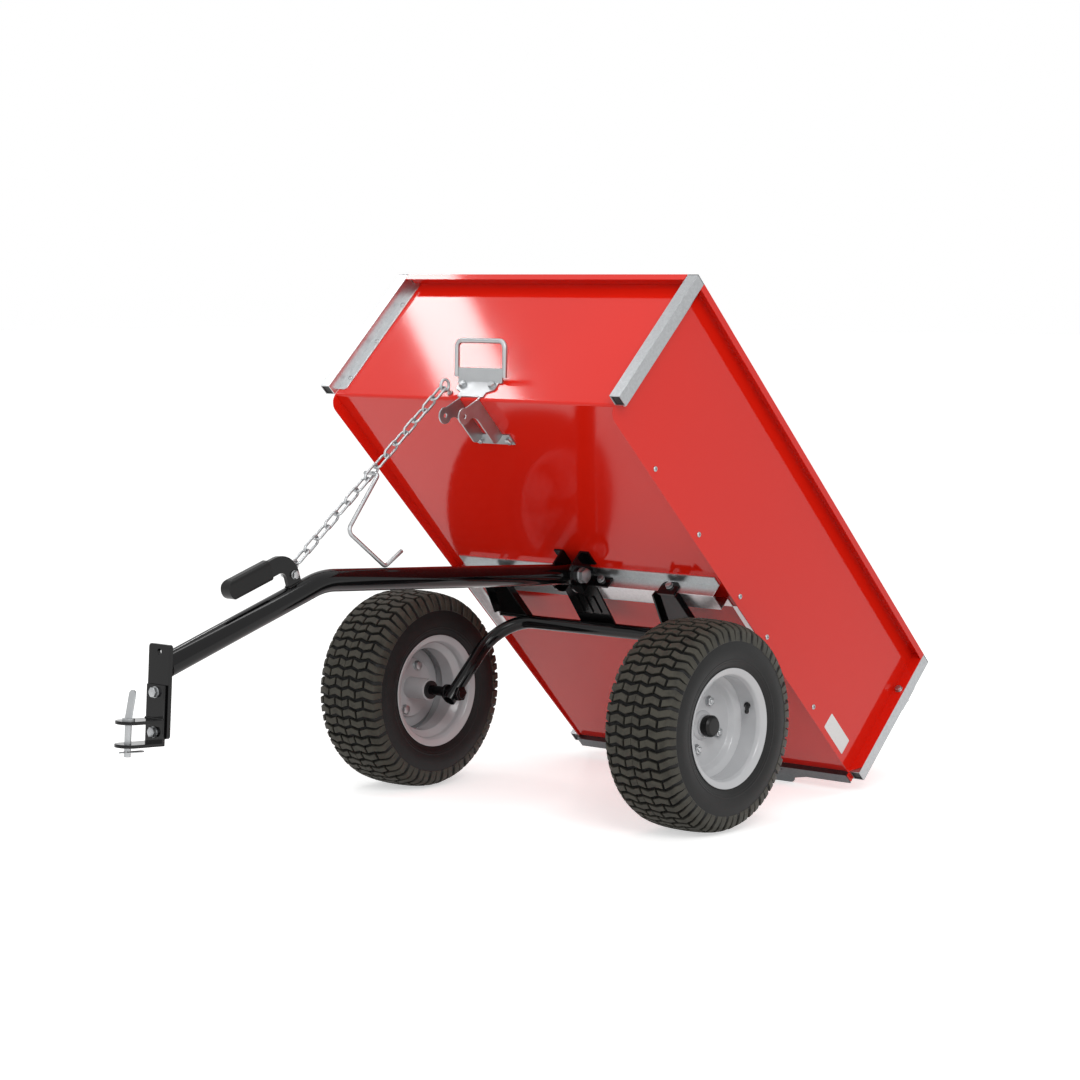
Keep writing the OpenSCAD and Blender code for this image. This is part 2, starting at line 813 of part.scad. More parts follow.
module floor_rail(side) {
  out = in_w - sheet_t;
  front = member_x - member_crown - member_flange;
  rear = rear_x + beam_l;
  color(zinc) in_tray() difference() {
    on_side(side) {
      slab([rear, out - rail_leg, floor_z - frame_t], [front, out, floor_z]);
      slab([rear, out - frame_t, floor_z - skirt_h + sheet_t], [front, out, floor_z]);
    }
    skirt_holes();
  }
}

module floor_rail_left() { floor_rail(1); }

module floor_rail_right() { floor_rail(-1); }

// Skid tab in plan, half of it, with a rounded tip corner and a hollow root corner
module skid_2d() {
  reach = skid_l;
  translate([skid_x, -skid_tip_w]) square([reach + frame_t, 2 * skid_tip_w]);
  for (s = [-1, 1]) {
    polygon([
      [rear_x + frame_t, s * skid_tip_w], [rear_x + frame_t, s * skid_root_w], [rear_x, s * skid_root_w],
      [skid_x + reach / 3, s * (skid_tip_w + skid_r)], [skid_x + reach / 3, s * skid_tip_w]
    ]);
    intersection() {
      translate([skid_x + skid_r, s * skid_tip_w]) circle(skid_r);
      translate([skid_x, s > 0 ? skid_tip_w : -skid_tip_w - skid_r]) square([reach / 3, skid_r]);
    }
  }
}

module tail_beam() {
  beam_w = in_w - sheet_t;
  color(zinc) in_tray() difference() {
    union() {
      slab([rear_x, -beam_w, skid_z], [rear_x + beam_l, beam_w, skid_z + frame_t]);
      slab([rear_x + beam_l - frame_t, -beam_w, skid_z], [rear_x + beam_l, beam_w, floor_z]);
      translate([0, 0, skid_z]) linear_extrude(frame_t) skid_2d();
    }
    for (s = [-1, 1]) translate([rear_x - screw_d, s * skid_tip_w, skid_z - overrun])
      cylinder(d = screw_shank, h = frame_t + 2 * overrun);
  }
}

gate_w = half_w - gate_play;
gate_low = skid_z + frame_t;
gate_h = top_z - rim_lip - gate_low;

// Gate pressed from one sheet: face, four turned edges, two ribs and a grip hole
module tailgate() {
  back = gate_x - gate_l;
  color(red) in_tray() difference() {
    union() {
      difference() {
        slab([back, -gate_w, gate_low], [gate_x, gate_w, gate_low + gate_h]);
        slab([back - overrun, -gate_w + sheet_t, gate_low + sheet_t],
             [gate_x - sheet_t, gate_w - sheet_t, gate_low + gate_h - sheet_t]);
      }
      for (s = gate_rib_shares) translate([gate_x - sheet_t, 0, gate_low + gate_h * s]) rotate([90, 0, -90])
        linear_extrude(gate_rib_h) slot_2d(2 * gate_w - 2 * fin_w - 2 * gate_rib_w, gate_rib_w);
    }
    for (s = gate_rib_shares) translate([gate_x, 0, gate_low + gate_h * s]) rotate([90, 0, -90])
      linear_extrude(gate_rib_h)
        slot_2d(2 * gate_w - 2 * fin_w - 2 * gate_rib_w - 2 * sheet_t, gate_rib_w - 2 * sheet_t);
    translate([gate_x + overrun, 0, gate_low + gate_h - gate_grip_h]) rotate([90, 0, -90])
      linear_extrude(2 * overrun + sheet_t) slot_2d(gate_grip_w, gate_grip_h);
  }
}

latch_x = rear_x - post_size - pass_gap;

module gate_latch(side) {
  color(zinc) in_tray() on_side(side) translate([latch_x, latch_y, latch_z]) rotate([90, 0, -90])
    difference() {
      linear_extrude(latch_t) rotate(90) slot_2d(latch_l, latch_w);
      translate([0, 0, -overrun]) cylinder(r = latch_bolt_d / 2 + pivot_play, h = latch_t + 2 * overrun);
    }
}

module gate_latch_left() { gate_latch(1); }

module gate_latch_right() { gate_latch(-1); }

module gate_latch_bolts() {
  color(zinc) in_tray() both_sides() translate([0, latch_y, latch_z])
    bolt_set_x(latch_bolt_d, latch_x - latch_t - pass_gap, rear_x + sheet_t);
}

// Latch ear seen from the side: an arm along the floor and a lobe with the lock pin hole in front
module latch_ear_2d() {
  low = floor_z - latch_arm_h;
  notch = low - lock_z;
  lobe = lock_boss_r * 0.85;
  difference() {
    union() {
      polygon(concat(
        [
          [latch_foot, floor_z], [tray_front, floor_z], [tray_front, floor_z + latch_step_z],
          [latch_face, floor_z + latch_step_z], [latch_face, floor_z], [lock_x + lobe, lock_z]
        ],
        [for (a = [0:10:90]) [lock_x - lobe - notch * (1 - cos(a)), lock_z + notch * sin(a)]],
        [for (a = [90:-15:0]) [latch_foot + latch_heel * (1 - cos(a)), low + latch_heel * (1 - sin(a))]]
      ));
      translate([lock_x, lock_z]) circle(lock_boss_r);
    }
    translate([lock_x, lock_z]) circle(d = lock_hole_d);
  }
}

// Flap of the latch plate seen from the side, bent away from the wall
module latch_flap_2d() {
  reach = latch_flap_l * [sin(lift_slope), cos(lift_slope)];
  sheet = latch_plate_t * [-cos(lift_slope), sin(lift_slope)];
  polygon([
    [tray_front, latch_fold - latch_plate_t], [latch_face, latch_fold - latch_plate_t],
    [latch_face, latch_fold], [latch_face, latch_fold] + reach, [latch_face, latch_fold] + reach + sheet,
    [tray_front, latch_fold + latch_plate_t * tan(lift_slope / 2)]
  ]);
}

// Latch plate seen from the front, with a neck down to the ears
module latch_plate_2d() {
  step = floor_z + latch_step_z;
  waist = step - (latch_top_w - latch_neck_w) / 2;
  low = floor_z + fold_r;
  polygon([
    [-latch_neck_w, low], [latch_neck_w, low], [latch_neck_w, waist], [latch_top_w, step],
    [latch_top_w, latch_fold], [-latch_top_w, latch_fold], [-latch_top_w, step], [-latch_neck_w, waist]
  ]);
}

module latch_bracket() {
  flap_w = lift_w / 2 - lift_d;
  color(zinc) in_tray() difference() {
    union() {
      both_sides() side_plate(latch_ear_in, latch_ear_in + latch_plate_t) latch_ear_2d();
      slab([latch_foot - latch_foot_l, -latch_foot_w, floor_z - latch_plate_t],
           [latch_foot + latch_plate_t, latch_foot_w, floor_z]);
      translate([tray_front, 0, 0]) rotate([90, 0, 90]) linear_extrude(latch_plate_t) latch_plate_2d();
      side_plate(-flap_w, flap_w) latch_flap_2d();
    }
    at_latch_bolts() translate([0, 0, -overrun]) cylinder(d = plate_bolt_d, h = latch_plate_t + 2 * overrun);
  }
}

// The four bolt places of the latch bracket, z pointing away from the tray sheet
module at_latch_bolts() {
  for (y = [-latch_bolt_y, latch_bolt_y]) {
    translate([tray_front, y, floor_z + latch_bolt_z]) rotate([0, 90, 0]) children();
    translate([latch_foot - latch_foot_l / 2, y, floor_z]) rotate([180, 0, 0]) children();
  }
}

// Heads of the latch bolts outside the tray, shanks end in the bracket
module latch_bolts() {
  color(zinc) in_tray() at_latch_bolts() head_on(latch_plate_t);
}

module head_on(grip) {
  cylinder(d = plate_bolt_d, h = grip);
  translate([0, 0, grip]) {
    washer(plate_bolt_d);
    translate([0, 0, plate_bolt_d * washer_t_share]) hex_head(plate_bolt_d);
  }
}

// Handle rod in the plane of the flap: two legs, two quarter bends and the top bar
module lift_handle() {
  leg = lift_w / 2 - lift_d / 2;
  color(zinc) in_tray() translate([latch_face, 0, latch_fold]) rotate([0, lift_slope, 0])
    translate([-latch_plate_t / 2, 0, 0]) {
      both_sides() {
        translate([0, leg, lift_z]) cylinder(d = lift_d, h = lift_l - lift_r - lift_z);
        translate([0, leg - lift_r, lift_l - lift_r]) rotate([90, 0, 90])
          rotate_extrude(angle = 90) translate([lift_r, 0]) circle(d = lift_d);
      }
      translate([0, 0, lift_l]) along_y(lift_d, -leg + lift_r, leg - lift_r);
    }
}

module chain_eye() {
  color(zinc) in_tray() translate(eye_at) {
    rotate([90, 0, 0]) rotate_extrude() translate([eye_r + eye_wire / 2, 0]) circle(d = eye_wire);
    along_x(eye_wire, -eye_shank - eye_r - eye_wire, -eye_r - eye_wire / 2);
    translate([-eye_shank - eye_r - eye_wire, 0, 0]) rotate([0, 90, 0]) hex_head(eye_wire);
  }
}

// Centre line of the axle arch thickened to diameter d, both legs lengthened by extra
module arch(d, extra) {
  both_sides() {
    translate([0, leg_y, -leg_low - extra]) cylinder(d = d, h = leg_low + arch_h - arch_r + extra);
    translate([0, leg_y - arch_r, arch_h - arch_r]) rotate([90, 0, 90])
      rotate_extrude(angle = 90) translate([arch_r, 0]) circle(d = d);
  }
  translate([0, 0, arch_h]) along_y(d, -leg_y + arch_r, leg_y - arch_r);
}

module axle_tube() {
  color(black) in_tray() difference() {
    arch(axle_d, 0);
    arch(axle_d - 2 * axle_wall, overrun);
    both_sides() along_y(spindle_d, leg_y - axle_d, leg_y + axle_d);
  }
}

module spindle(side) {
  end = track / 2 + hub_out + bush_t + cap_l / 2;
  color(black) in_place() on_side(side) {
    along_y(spindle_d, leg_y - spindle_in, end);
    along_y(spindle_collar_d, leg_y + axle_d / 2, leg_y + axle_d / 2 + spindle_collar_l);
    translate([0, leg_y - axle_d / 2, 0]) rotate([90, 0, 0])
      cylinder(d = spindle_collar_d, h = spindle_collar_l, $fn = 6);
  }
}

module spindle_left() { spindle(1); }

module spindle_right() { spindle(-1); }

web_low = floor_z - member_h;
plate_fall = web_low - bracket_t / 2 - arch_h - axle_d / 2;
plate_run = member_x + bracket_t;
plate_tilt = atan2(plate_fall, plate_run);
plate_len = norm([plate_fall, plate_run]);
hinge_bolt_y = (hinge_base_w + ear_in + ear_t) / 2;

// Sloping plate from the cross member down to the axle tube, drawn in plan
module sloped() {
  translate([plate_run, 0, web_low]) rotate([0, -plate_tilt, 0]) mirror([1, 0, 0]) children();
}

module over_axle() {
  difference() {
    children();
    translate([0, 0, arch_h]) along_y(axle_d, -half_w, half_w);
  }
}

// Bolt tab of an axle bracket with rounded upper corners
module tab_2d() {
  r = bracket_tab_w / 4;
  rise = tab_z - web_low;
  translate([-2 * r, -2 * bracket_t]) square([4 * r, rise + 2 * bracket_t]);
  translate([-r, 0]) square([2 * r, rise + r]);
  for (s = [-1, 1]) translate([s * r, rise]) circle(r);
}

// Channel of an axle bracket in plan, widening towards the axle, its sides moved in by inset
module channel_2d(inset, extra) {
  w0 = bracket_w / 2 - inset;
  w1 = bracket_foot_w / 2 - inset;
  grow = (w1 - w0) * extra / plate_len;
  polygon([
    [-extra, -w0 + grow], [-extra, w0 - grow],
    [plate_len + extra, w1 + grow], [plate_len + extra, -w1 - grow]
  ]);
}

module axle_bracket(side) {
  color(black) in_tray() on_side(side) translate([0, bracket_y, 0]) over_axle() difference() {
    union() {
      translate([0, 0, web_low]) cross_plate(member_x, plate_run) tab_2d();
      sloped() translate([bracket_t / 2, 0, -bracket_t - flank_h / 2]) difference() {
        linear_extrude(bracket_t + flank_h / 2) channel_2d(0, 0);
        translate([0, 0, -overrun]) linear_extrude(flank_h / 2 + overrun) channel_2d(bracket_t, bracket_t);
      }
    }
    translate([0, 0, tab_z]) along_x(frame_bolt_d, member_x - overrun, plate_run + overrun);
  }
}

module axle_bracket_left() { axle_bracket(1); }

module axle_bracket_right() { axle_bracket(-1); }

// Hinge ear seen from the side: round below the pivot, straight up to the floor
module hinge_ear_2d() {
  under = web_low - bracket_t;
  high = floor_z - frame_t;
  difference() {
    union() {
      translate([pivot_x, pivot_z]) circle(ear_r);
      translate([plate_run, pivot_z]) square([pivot_x - plate_run + ear_r, high - pivot_z]);
      translate([plate_run, under]) square([pivot_x - plate_run, pivot_z - under]);
    }
    square([plate_run, top_z]);
    translate([0, high]) square([pivot_x + 2 * ear_r, ear_r]);
    translate([pivot_x, pivot_z]) circle(d = pivot_d);
  }
}

module hinge_bracket() {
  color(black) in_tray() over_axle() difference() {
    union() {
      both_sides() side_plate(ear_in, ear_in + ear_t) hinge_ear_2d();
      both_sides() slab([pivot_x, ear_in, floor_z - bracket_t], [pivot_x + ear_r, hinge_tail_w, floor_z]);
      cross_plate(member_x, plate_run) translate([-hinge_base_w, web_low - bracket_t])
        square([2 * hinge_base_w, tab_z - web_low + 2 * bracket_t + frame_bolt_d / 2]);
      sloped() translate([0, 0, -bracket_t]) linear_extrude(bracket_t)
        translate([0, -hinge_tail_w]) square([plate_len, 2 * hinge_tail_w]);
      for (s = [-1, 0, 1]) sloped() translate([plate_len / 2, s * hinge_tail_w / 2, -bracket_t])
        rotate([180, 0, 0]) linear_extrude(hinge_rib_d / 3) slot_2d(hinge_rib_l, hinge_rib_d);
    }
    for (s = [-1, 1]) translate([0, s * hinge_bolt_y, tab_z])
      along_x(frame_bolt_d, member_x - overrun, plate_run + overrun);
  }
}

module bracket_bolts() {
  color(zinc) in_tray() for (y = [-bracket_y, -hinge_bolt_y, hinge_bolt_y, bracket_y])
    translate([0, y, tab_z]) bolt_set_x(frame_bolt_d, member_x - frame_t, plate_run);
}

module pivot_bolt() {
  out = ear_in + ear_t;
  color(zinc) in_tray() translate([pivot_x, 0, pivot_z]) bolt_set_y(pivot_d, -out, out);
}

// Tyre section from the inner bead over the tread to the outer bead and back inside,
// each point with offset, radius, tread side and share of the zigzag
half_t = tyre_w / 2;
bead_y = rim_over / 2 - rim_t;
bead_r = seat_d / 2 / cos(90 / tread_rows);
crown_r = wheel_r - tread_depth;
tyre_section = [
  [-bead_y, flange_d / 2 + link_play, 0, 0],
  [-half_t, (flange_d / 2 + wheel_r) / 2 - tyre_wall, 0, 0],
  [-half_t * 0.97, crown_r - tyre_wall * 2, 0, 0],
  [-half_t * 0.86, crown_r - tread_depth, 1, 0],
  [-half_t * 0.6, crown_r, 1, 0.4],
  [-half_t * 0.56, crown_r, -1, 0.4],
  [-half_t * 0.3, crown_r, -1, 1],
  [-half_t * 0.04, crown_r, -1, 0],
  [half_t * 0.04, crown_r, 1, 0],
  [half_t * 0.3, crown_r, 1, 1],
  [half_t * 0.56, crown_r, 1, 0.4],
  [half_t * 0.6, crown_r, -1, 0.4],
  [half_t * 0.86, crown_r - tread_depth, -1, 0],
  [half_t * 0.97, crown_r - tyre_wall * 2, 0, 0],
  [half_t, (flange_d / 2 + wheel_r) / 2 - tyre_wall, 0, 0],
  [bead_y, flange_d / 2 + link_play, 0, 0],
  [bead_y, bead_r, 0, 0],
  [bead_y - seat_w * toe_share, seat_d / 2 + link_play, 0, 0],
  [half_t - 2 * tyre_wall, crown_r - 2 * tyre_wall, 0, 0],
  [-half_t + 2 * tyre_wall, crown_r - 2 * tyre_wall, 0, 0],
  [-bead_y + seat_w * toe_share, seat_d / 2 + link_play, 0, 0],
  [-bead_y, bead_r, 0, 0]
];
ring_n = len(tyre_section);
step_shares = [0, 0.5 - groove_share, 0.5, 1 - groove_share];
step_n = len(step_shares);
tyre_n = tread_rows * step_n;

function raised(j, t) = t > 0 ? (j % step_n < 2 ? 1 : 0) : t < 0 ? (j % step_n < 2 ? 0 : 1) : 0;
function tyre_point(j, s) =
  let (a = 360 / tread_rows * (floor(j / step_n) + step_shares[j % step_n] + zig_share * s[3]),
       r = s[1] + tread_depth * raised(j, s[2]))
  [r * cos(a), s[0], r * sin(a)];

module tyre(side) {
  points = [for (j = [0:tyre_n - 1]) for (s = tyre_section) tyre_point(j, s)];
  faces = [
    for (j = [0:tyre_n - 1]) for (k = [0:ring_n - 1])
      let (a = j * ring_n + k, b = j * ring_n + (k + 1) % ring_n,
           c = ((j + 1) % tyre_n) * ring_n + (k + 1) % ring_n, d = ((j + 1) % tyre_n) * ring_n + k)
      each [[a, b, c], [a, c, d]]
  ];
  color(rubber) in_place() translate([0, side * track / 2, 0]) rotate([0, 0, side > 0 ? 180 : 0])
    polyhedron(points, faces);
}

module tyre_left() { tyre(1); }

module tyre_right() { tyre(-1); }

// Rim barrel, radius against offset: straight outside the disc, with the well behind it
rim_in = rim_over / 2 - rim_t - seat_w;
rim_inside = seat_d / 2 - rim_t;
rim_outline = [
  [flange_d / 2, rim_over / 2 - rim_t], [flange_d / 2, rim_over / 2], [rim_inside, rim_over / 2],
  [rim_inside, 0], [well_d / 2 - rim_t, -well_slope], [well_d / 2 - rim_t, well_slope - rim_in],
  [rim_inside, -rim_in], [rim_inside, -rim_over / 2], [flange_d / 2, -rim_over / 2],
  [flange_d / 2, rim_t - rim_over / 2], [seat_d / 2, rim_t - rim_over / 2], [seat_d / 2, -rim_in],
  [well_d / 2, well_slope - rim_in], [well_d / 2, -well_slope], [seat_d / 2, 0],
  [seat_d / 2, rim_over / 2 - rim_t]
];

dish_x = seat_d / 2 - rim_t / 2 - dish_r;

// Barrel and dished disc; the edge of the disc is sunk into the barrel
module rim_2d() {
  polygon(rim_outline);
  translate([hub_d / 2, disc_y]) square([dish_x - hub_d / 2, rim_t]);
  translate([dish_x, disc_y + dish_r]) intersection() {
    difference() {
      circle(dish_r);
      circle(dish_r - rim_t);
    }
    translate([0, -dish_r]) square(dish_r);
  }
}

module in_wheel(side) {
  in_place() on_side(side) translate([0, track / 2, 0]) children();
}

module revolve_y() {
  rotate([-90, 0, 0]) rotate_extrude() children();
}

module bolt_ring() {
  for (i = [0:bolt_count - 1]) rotate([0, 360 / bolt_count * (i - 0.25), 0])
    translate([bolt_circle / 2, 0, 0]) children();
}

// Valve hole in the barrel, z pointing to the axle
module at_valve() {
  rotate([0, -valve_turn, 0]) translate([rim_inside, valve_y, 0]) rotate([0, -90, 0]) children();
}

module rim(side) {
  color(rim_grey) in_wheel(side) difference() {
    revolve_y() rim_2d();
    bolt_ring() along_y(wheel_bolt_d, disc_y - overrun, disc_y + rim_t + overrun);
    at_valve() translate([0, 0, -rim_t - overrun]) cylinder(d = valve_d, h = rim_t + 2 * overrun);
  }
}

module rim_left() { rim(1); }

module rim_right() { rim(-1); }

module hub(side) {
  color(rim_grey) in_wheel(side) difference() {
    union() {
      along_y(hub_d, -hub_in, hub_out);
      along_y(hub_flange_d, disc_y - hub_flange_t, disc_y);
    }
    along_y(bush_od, -hub_in - overrun, hub_out + overrun);
    bolt_ring() along_y(wheel_bolt_d, disc_y - hub_flange_t - overrun, disc_y + overrun);
  }
}

module hub_left() { hub(1); }

module hub_right() { hub(-1); }

module bush() {
  difference() {
    union() {
      along_y(bush_d, -bush_t, 0);
      along_y(bush_od, 0, bush_l);
    }
    along_y(spindle_d + 2 * run_play, -bush_t - overrun, bush_l + overrun);
  }
}

module bushes(side) {
  color(black) in_wheel(side) {
    translate([0, -hub_in, 0]) bush();
    translate([0, hub_out, 0]) mirror([0, 1, 0]) bush();
  }
}

module bushes_left() { bushes(1); }

module bushes_right() { bushes(-1); }

module wheel_bolts(side) {
  color(zinc) in_wheel(side) bolt_ring() bolt_set_y(wheel_bolt_d, disc_y - hub_flange_t, disc_y + rim_t);
}

module wheel_bolts_left() { wheel_bolts(1); }

module wheel_bolts_right() { wheel_bolts(-1); }

module valve(side) {
  color(rubber) in_wheel(side) at_valve() {
    translate([0, 0, -rim_t]) cylinder(d = valve_d, h = rim_t + valve_l * valve_stem_share);
    translate([0, 0, valve_gap]) cylinder(d = valve_d * 1.5, h = valve_d / 2);
    translate([0, 0, valve_l * valve_stem_share])
      cylinder(d = valve_d * 0.8, h = valve_l * (1 - valve_stem_share));
  }
}

module valve_left() { valve(1); }

module valve_right() { valve(-1); }

module hub_cap(side) {
  crown = cap_l * cap_crown_share;
  color(rubber) in_wheel(side) translate([0, hub_out + bush_t, 0]) difference() {
    union() {
      along_y(cap_d, 0, cap_l - crown);
      translate([0, cap_l - crown, 0]) rotate([-90, 0, 0])
        cylinder(d1 = cap_d, d2 = cap_d * (1 - cap_crown_share), h = crown);
    }
    along_y(spindle_d + 2 * cap_wall, -overrun, cap_l - cap_wall);
  }
}

module hub_cap_left() { hub_cap(1); }

module hub_cap_right() { hub_cap(-1); }

bar_path = [[-bar_tail, 0, 0], [bar_rear_l, 0, 0], from_arm([bar_front_l + bar_d, 0, 0])];
bore_path = [[-bar_tail - overrun, 0, 0], [bar_rear_l, 0, 0], from_arm([bar_front_l + 2 * bar_d, 0, 0])];

module drawbar_tube() {
  color(black) in_bar() difference() {
    bent_rod(bar_path, bar_d, bar_bend_r);
    bent_rod(bore_path, bar_d - 2 * bar_wall, bar_bend_r);
    along_y(sleeve_d, -bar_d, bar_d);
    slab([arm_x, -bar_d, arm_z - 3 * bar_d], [arm_x + 3 * bar_d, bar_d, arm_z + 2 * bar_d]);
  }
}

module pivot_sleeve() {
  color(black) in_bar() difference() {
    along_y(sleeve_d, -bar_d / 2, bar_d / 2);
    along_y(pivot_d + 2 * pivot_play, -bar_d, bar_d);
  }
}

module hitch_plate() {
  color(black) in_bar() difference() {
    translate([0, 0, arm_z - hitch_down]) cross_plate(arm_x, plate_x)
      translate([-hitch_w / 2, 0]) rounded_2d(hitch_w, hitch_up + hitch_down, hitch_r);
    translate([0, 0, arm_z + hitch_up - adjust_drop]) along_x(adjust_d, arm_x - overrun, plate_x + overrun);
    for (z = bolt_z) translate([0, 0, z]) along_x(hitch_bolt_d, arm_x - overrun, plate_x + overrun);
  }
}

// Jaw in plan: straight sides and a round nose about the pin
module jaw_2d(from) {
  difference() {
    union() {
      translate([from, -clevis_w / 2]) square([pin_x - from, clevis_w]);
      translate([pin_x, 0]) circle(d = clevis_w);
    }
    translate([pin_x, 0]) circle(d = pin_d + 2 * pin_play);
  }
}

module clevis() {
  color(black) in_bar() difference() {
    union() {
      slab([plate_x, -clevis_w / 2, jaw_low], [clevis_x, clevis_w / 2, bolt_z[0] + clevis_up]);
      translate([0, 0, jaw_low]) linear_extrude(clevis_t) jaw_2d(plate_x);
      translate([0, 0, jaw_high]) linear_extrude(clevis_t) jaw_2d(clevis_x);
    }
    for (z = bolt_z) translate([0, 0, z]) along_x(hitch_bolt_d, plate_x - overrun, clevis_x + overrun);
  }
}

module hitch_bolts() {
  color(zinc) in_bar() for (z = bolt_z) translate([0, 0, z]) bolt_set_x(hitch_bolt_d, arm_x, clevis_x);
}

pin_top = jaw_high + clevis_t;
clip_z = jaw_low - pin_low / 2;

module hitch_pin() {
  color(zinc) in_bar() translate([pin_x, 0, 0]) difference() {
    union() {
      translate([0, 0, jaw_low - pin_low]) cylinder(d = pin_d, h = pin_top - jaw_low + pin_low);
      translate([0, 0, pin_top]) cylinder(d = pin_head_d, h = pin_head_t);
      translate([0, 0, pin_top + pin_head_t]) rotate([0, -pin_grip_lean, 0])
        translate([-pin_grip_t / 2, 0, -pin_grip_t]) rotate([90, 0, 90]) linear_extrude(pin_grip_t) {
          translate([-pin_grip_w / 2, 0]) square([pin_grip_w, pin_grip_l - pin_grip_w / 2]);
          translate([0, pin_grip_l - pin_grip_w / 2]) circle(d = pin_grip_w);
        }
    }
    translate([0, 0, clip_z]) along_x(clip_d + 2 * pivot_play, -pin_d, pin_d);
  }
}

// Hairpin clip: straight leg through the pin, half loop and a leg that hugs the pin
module pin_clip() {
  side = pin_d / 2 + clip_d / 2 + pass_gap / 2;
  back = clip_l * clip_back_share;
  color(zinc) in_bar() translate([pin_x, 0, clip_z]) {
    along_x(clip_d, -back, clip_l - back);
    translate([-back, side / 2, 0]) rotate([0, 0, 90])
      rotate_extrude(angle = 180) translate([side / 2, 0]) circle(d = clip_d);
    translate([0, side, 0]) along_x(clip_d, -back, (clip_l - back) / 2);
  }
}

grip_in = bar_d / 2 + grip_gap;
grip_turn = grip_in - grip_r;

// Gooseneck bar in side view: post, quarter bend and long arm
module goose_2d() {
  translate([grip_x, 0]) square([grip_w, grip_turn]);
  translate([grip_x + grip_w + grip_r, grip_turn]) intersection() {
    difference() {
      circle(grip_w + grip_r);
      circle(grip_r);
    }
    translate([-grip_w - grip_r, 0]) square(grip_w + grip_r);
  }
  translate([grip_x + grip_w + grip_r, grip_in]) square([grip_l - grip_w / 2, grip_w]);
  translate([grip_x + grip_w + grip_r + grip_l - grip_w / 2, grip_in + grip_w / 2]) circle(d = grip_w);
}

module grip_bar() {
  color(black) in_arm() difference() {
    side_plate(-grip_t / 2, grip_t / 2) goose_2d();
    along_x(bar_d, 0, bar_front_l);
    translate(chain_bolt_at) along_y(chain_bolt_d, -grip_t, grip_t);
  }
}

// Rubber sleeve: side outline crossed with a rounded cross section, hollow for the bar
module grip_sleeve() {
  tip = grip_x + grip_w + grip_r + grip_l;
  tall = grip_w + 2 * cover_wall;
  color(rubber) in_arm() difference() {
    intersection() {
      side_plate(-cover_w / 2, cover_w / 2) {
        translate([tip + cover_wall - cover_l, grip_in - cover_wall]) square([cover_l - tall / 2, tall]);
        translate([tip + cover_wall - tall / 2, grip_in + grip_w / 2]) circle(d = tall);
      }
      translate([0, -cover_w / 2, grip_in - cover_wall]) cross_plate(0, tip + cover_wall)
        rounded_2d(cover_w, tall, cover_r);
    }
    side_plate(-grip_t / 2, grip_t / 2) goose_2d();
  }
}

module chain_bolt() {
  tail = chain_side + link_d / 2 + link_room;
  color(zinc) in_arm() translate(chain_bolt_at) bolt_set_y(chain_bolt_d, -grip_t / 2, grip_t / 2);
  color(zinc) in_arm() translate(chain_bolt_at) {
    along_y(chain_bolt_d, -tail, -grip_t / 2);
    translate([0, -tail, 0]) rotate([90, 0, 0]) hex_head(chain_bolt_d);
  }
}

// One link along z: two straight sides and two half rings
module link() {
  arc = link_w / 2 - link_d / 2;
  half = (link_pitch + link_play) / 2 + link_d / 2 - arc;
  for (m = [0, 1]) mirror([0, 0, m]) {
    for (x = [-arc, arc]) translate([x, 0, 0]) cylinder(d = link_d, h = half);
    translate([0, 0, half]) rotate([90, 0, 0])
      rotate_extrude(angle = 180) translate([arc, 0]) circle(d = link_d);
  }
}

function link_at(i) = from_tray(eye_at) + chain_dir * (eye_r + link_pitch * (i + 0.5));

module chain() {
  color(zinc) for (i = [0:link_count - 1])
    translate(link_at(i)) rotate([0, chain_drop, chain_yaw]) rotate([0, 0, i % 2 == 0 ? 90 : 0]) link();
}

lock_link = 2 * round(link_count * lock_share / 2);
lock_down = unit([chain_dir[2], 0, -chain_dir[0]]);
lock_at = link_at(lock_link - 1) + lock_down * (link_w / 2 - link_d - lock_d / 2 - rest_gap);
lock_turn = lock_stub_rise + atan2(lock_bend_z, lock_bend_x);
lock_lift = bar_d / 2 + lock_d / 2 + bend_swell + rest_gap - lock_r * (1 / cos(lock_turn / 2) - 1);

// Bent rod that hangs in one chain link and rests on the drawbar
module lock_pin() {
  reach = [0, link_w / 2 + lock_d, 0];
  foot = [lock_foot_x, 0, lock_lift];
  color(zinc) bent_rod([
    from_bar(foot + [-lock_stub * cos(lock_stub_rise), 0, lock_stub * sin(lock_stub_rise)]),
    from_bar(foot), from_bar(foot + [lock_bend_x, 0, lock_bend_z]),
    lock_at + reach, lock_at - reach
  ], lock_d, lock_r);
}

tray_pan();
side_wall_left();
side_wall_right();
skirt_screws();
post_front_left();
post_front_right();
post_rear_left();
post_rear_right();
post_plugs();
post_caps();
post_rivets();
cross_member();
floor_rail_left();
floor_rail_right();
tail_beam();
tailgate();
gate_latch_left();
gate_latch_right();
gate_latch_bolts();
latch_bracket();
lift_handle();
chain_eye();
latch_bolts();
axle_tube();
axle_bracket_left();
axle_bracket_right();
hinge_bracket();
bracket_bolts();
spindle_left();
spindle_right();
pivot_bolt();
tyre_left();
rim_left();
hub_left();
bushes_left();
wheel_bolts_left();
valve_left();
hub_cap_left();
tyre_right();
rim_right();
hub_right();
bushes_right();
wheel_bolts_right();
valve_right();
hub_cap_right();
drawbar_tube();
pivot_sleeve();
hitch_plate();
clevis();
hitch_bolts();
grip_bar();
grip_sleeve();
chain_bolt();
hitch_pin();
pin_clip();
chain();
lock_pin();
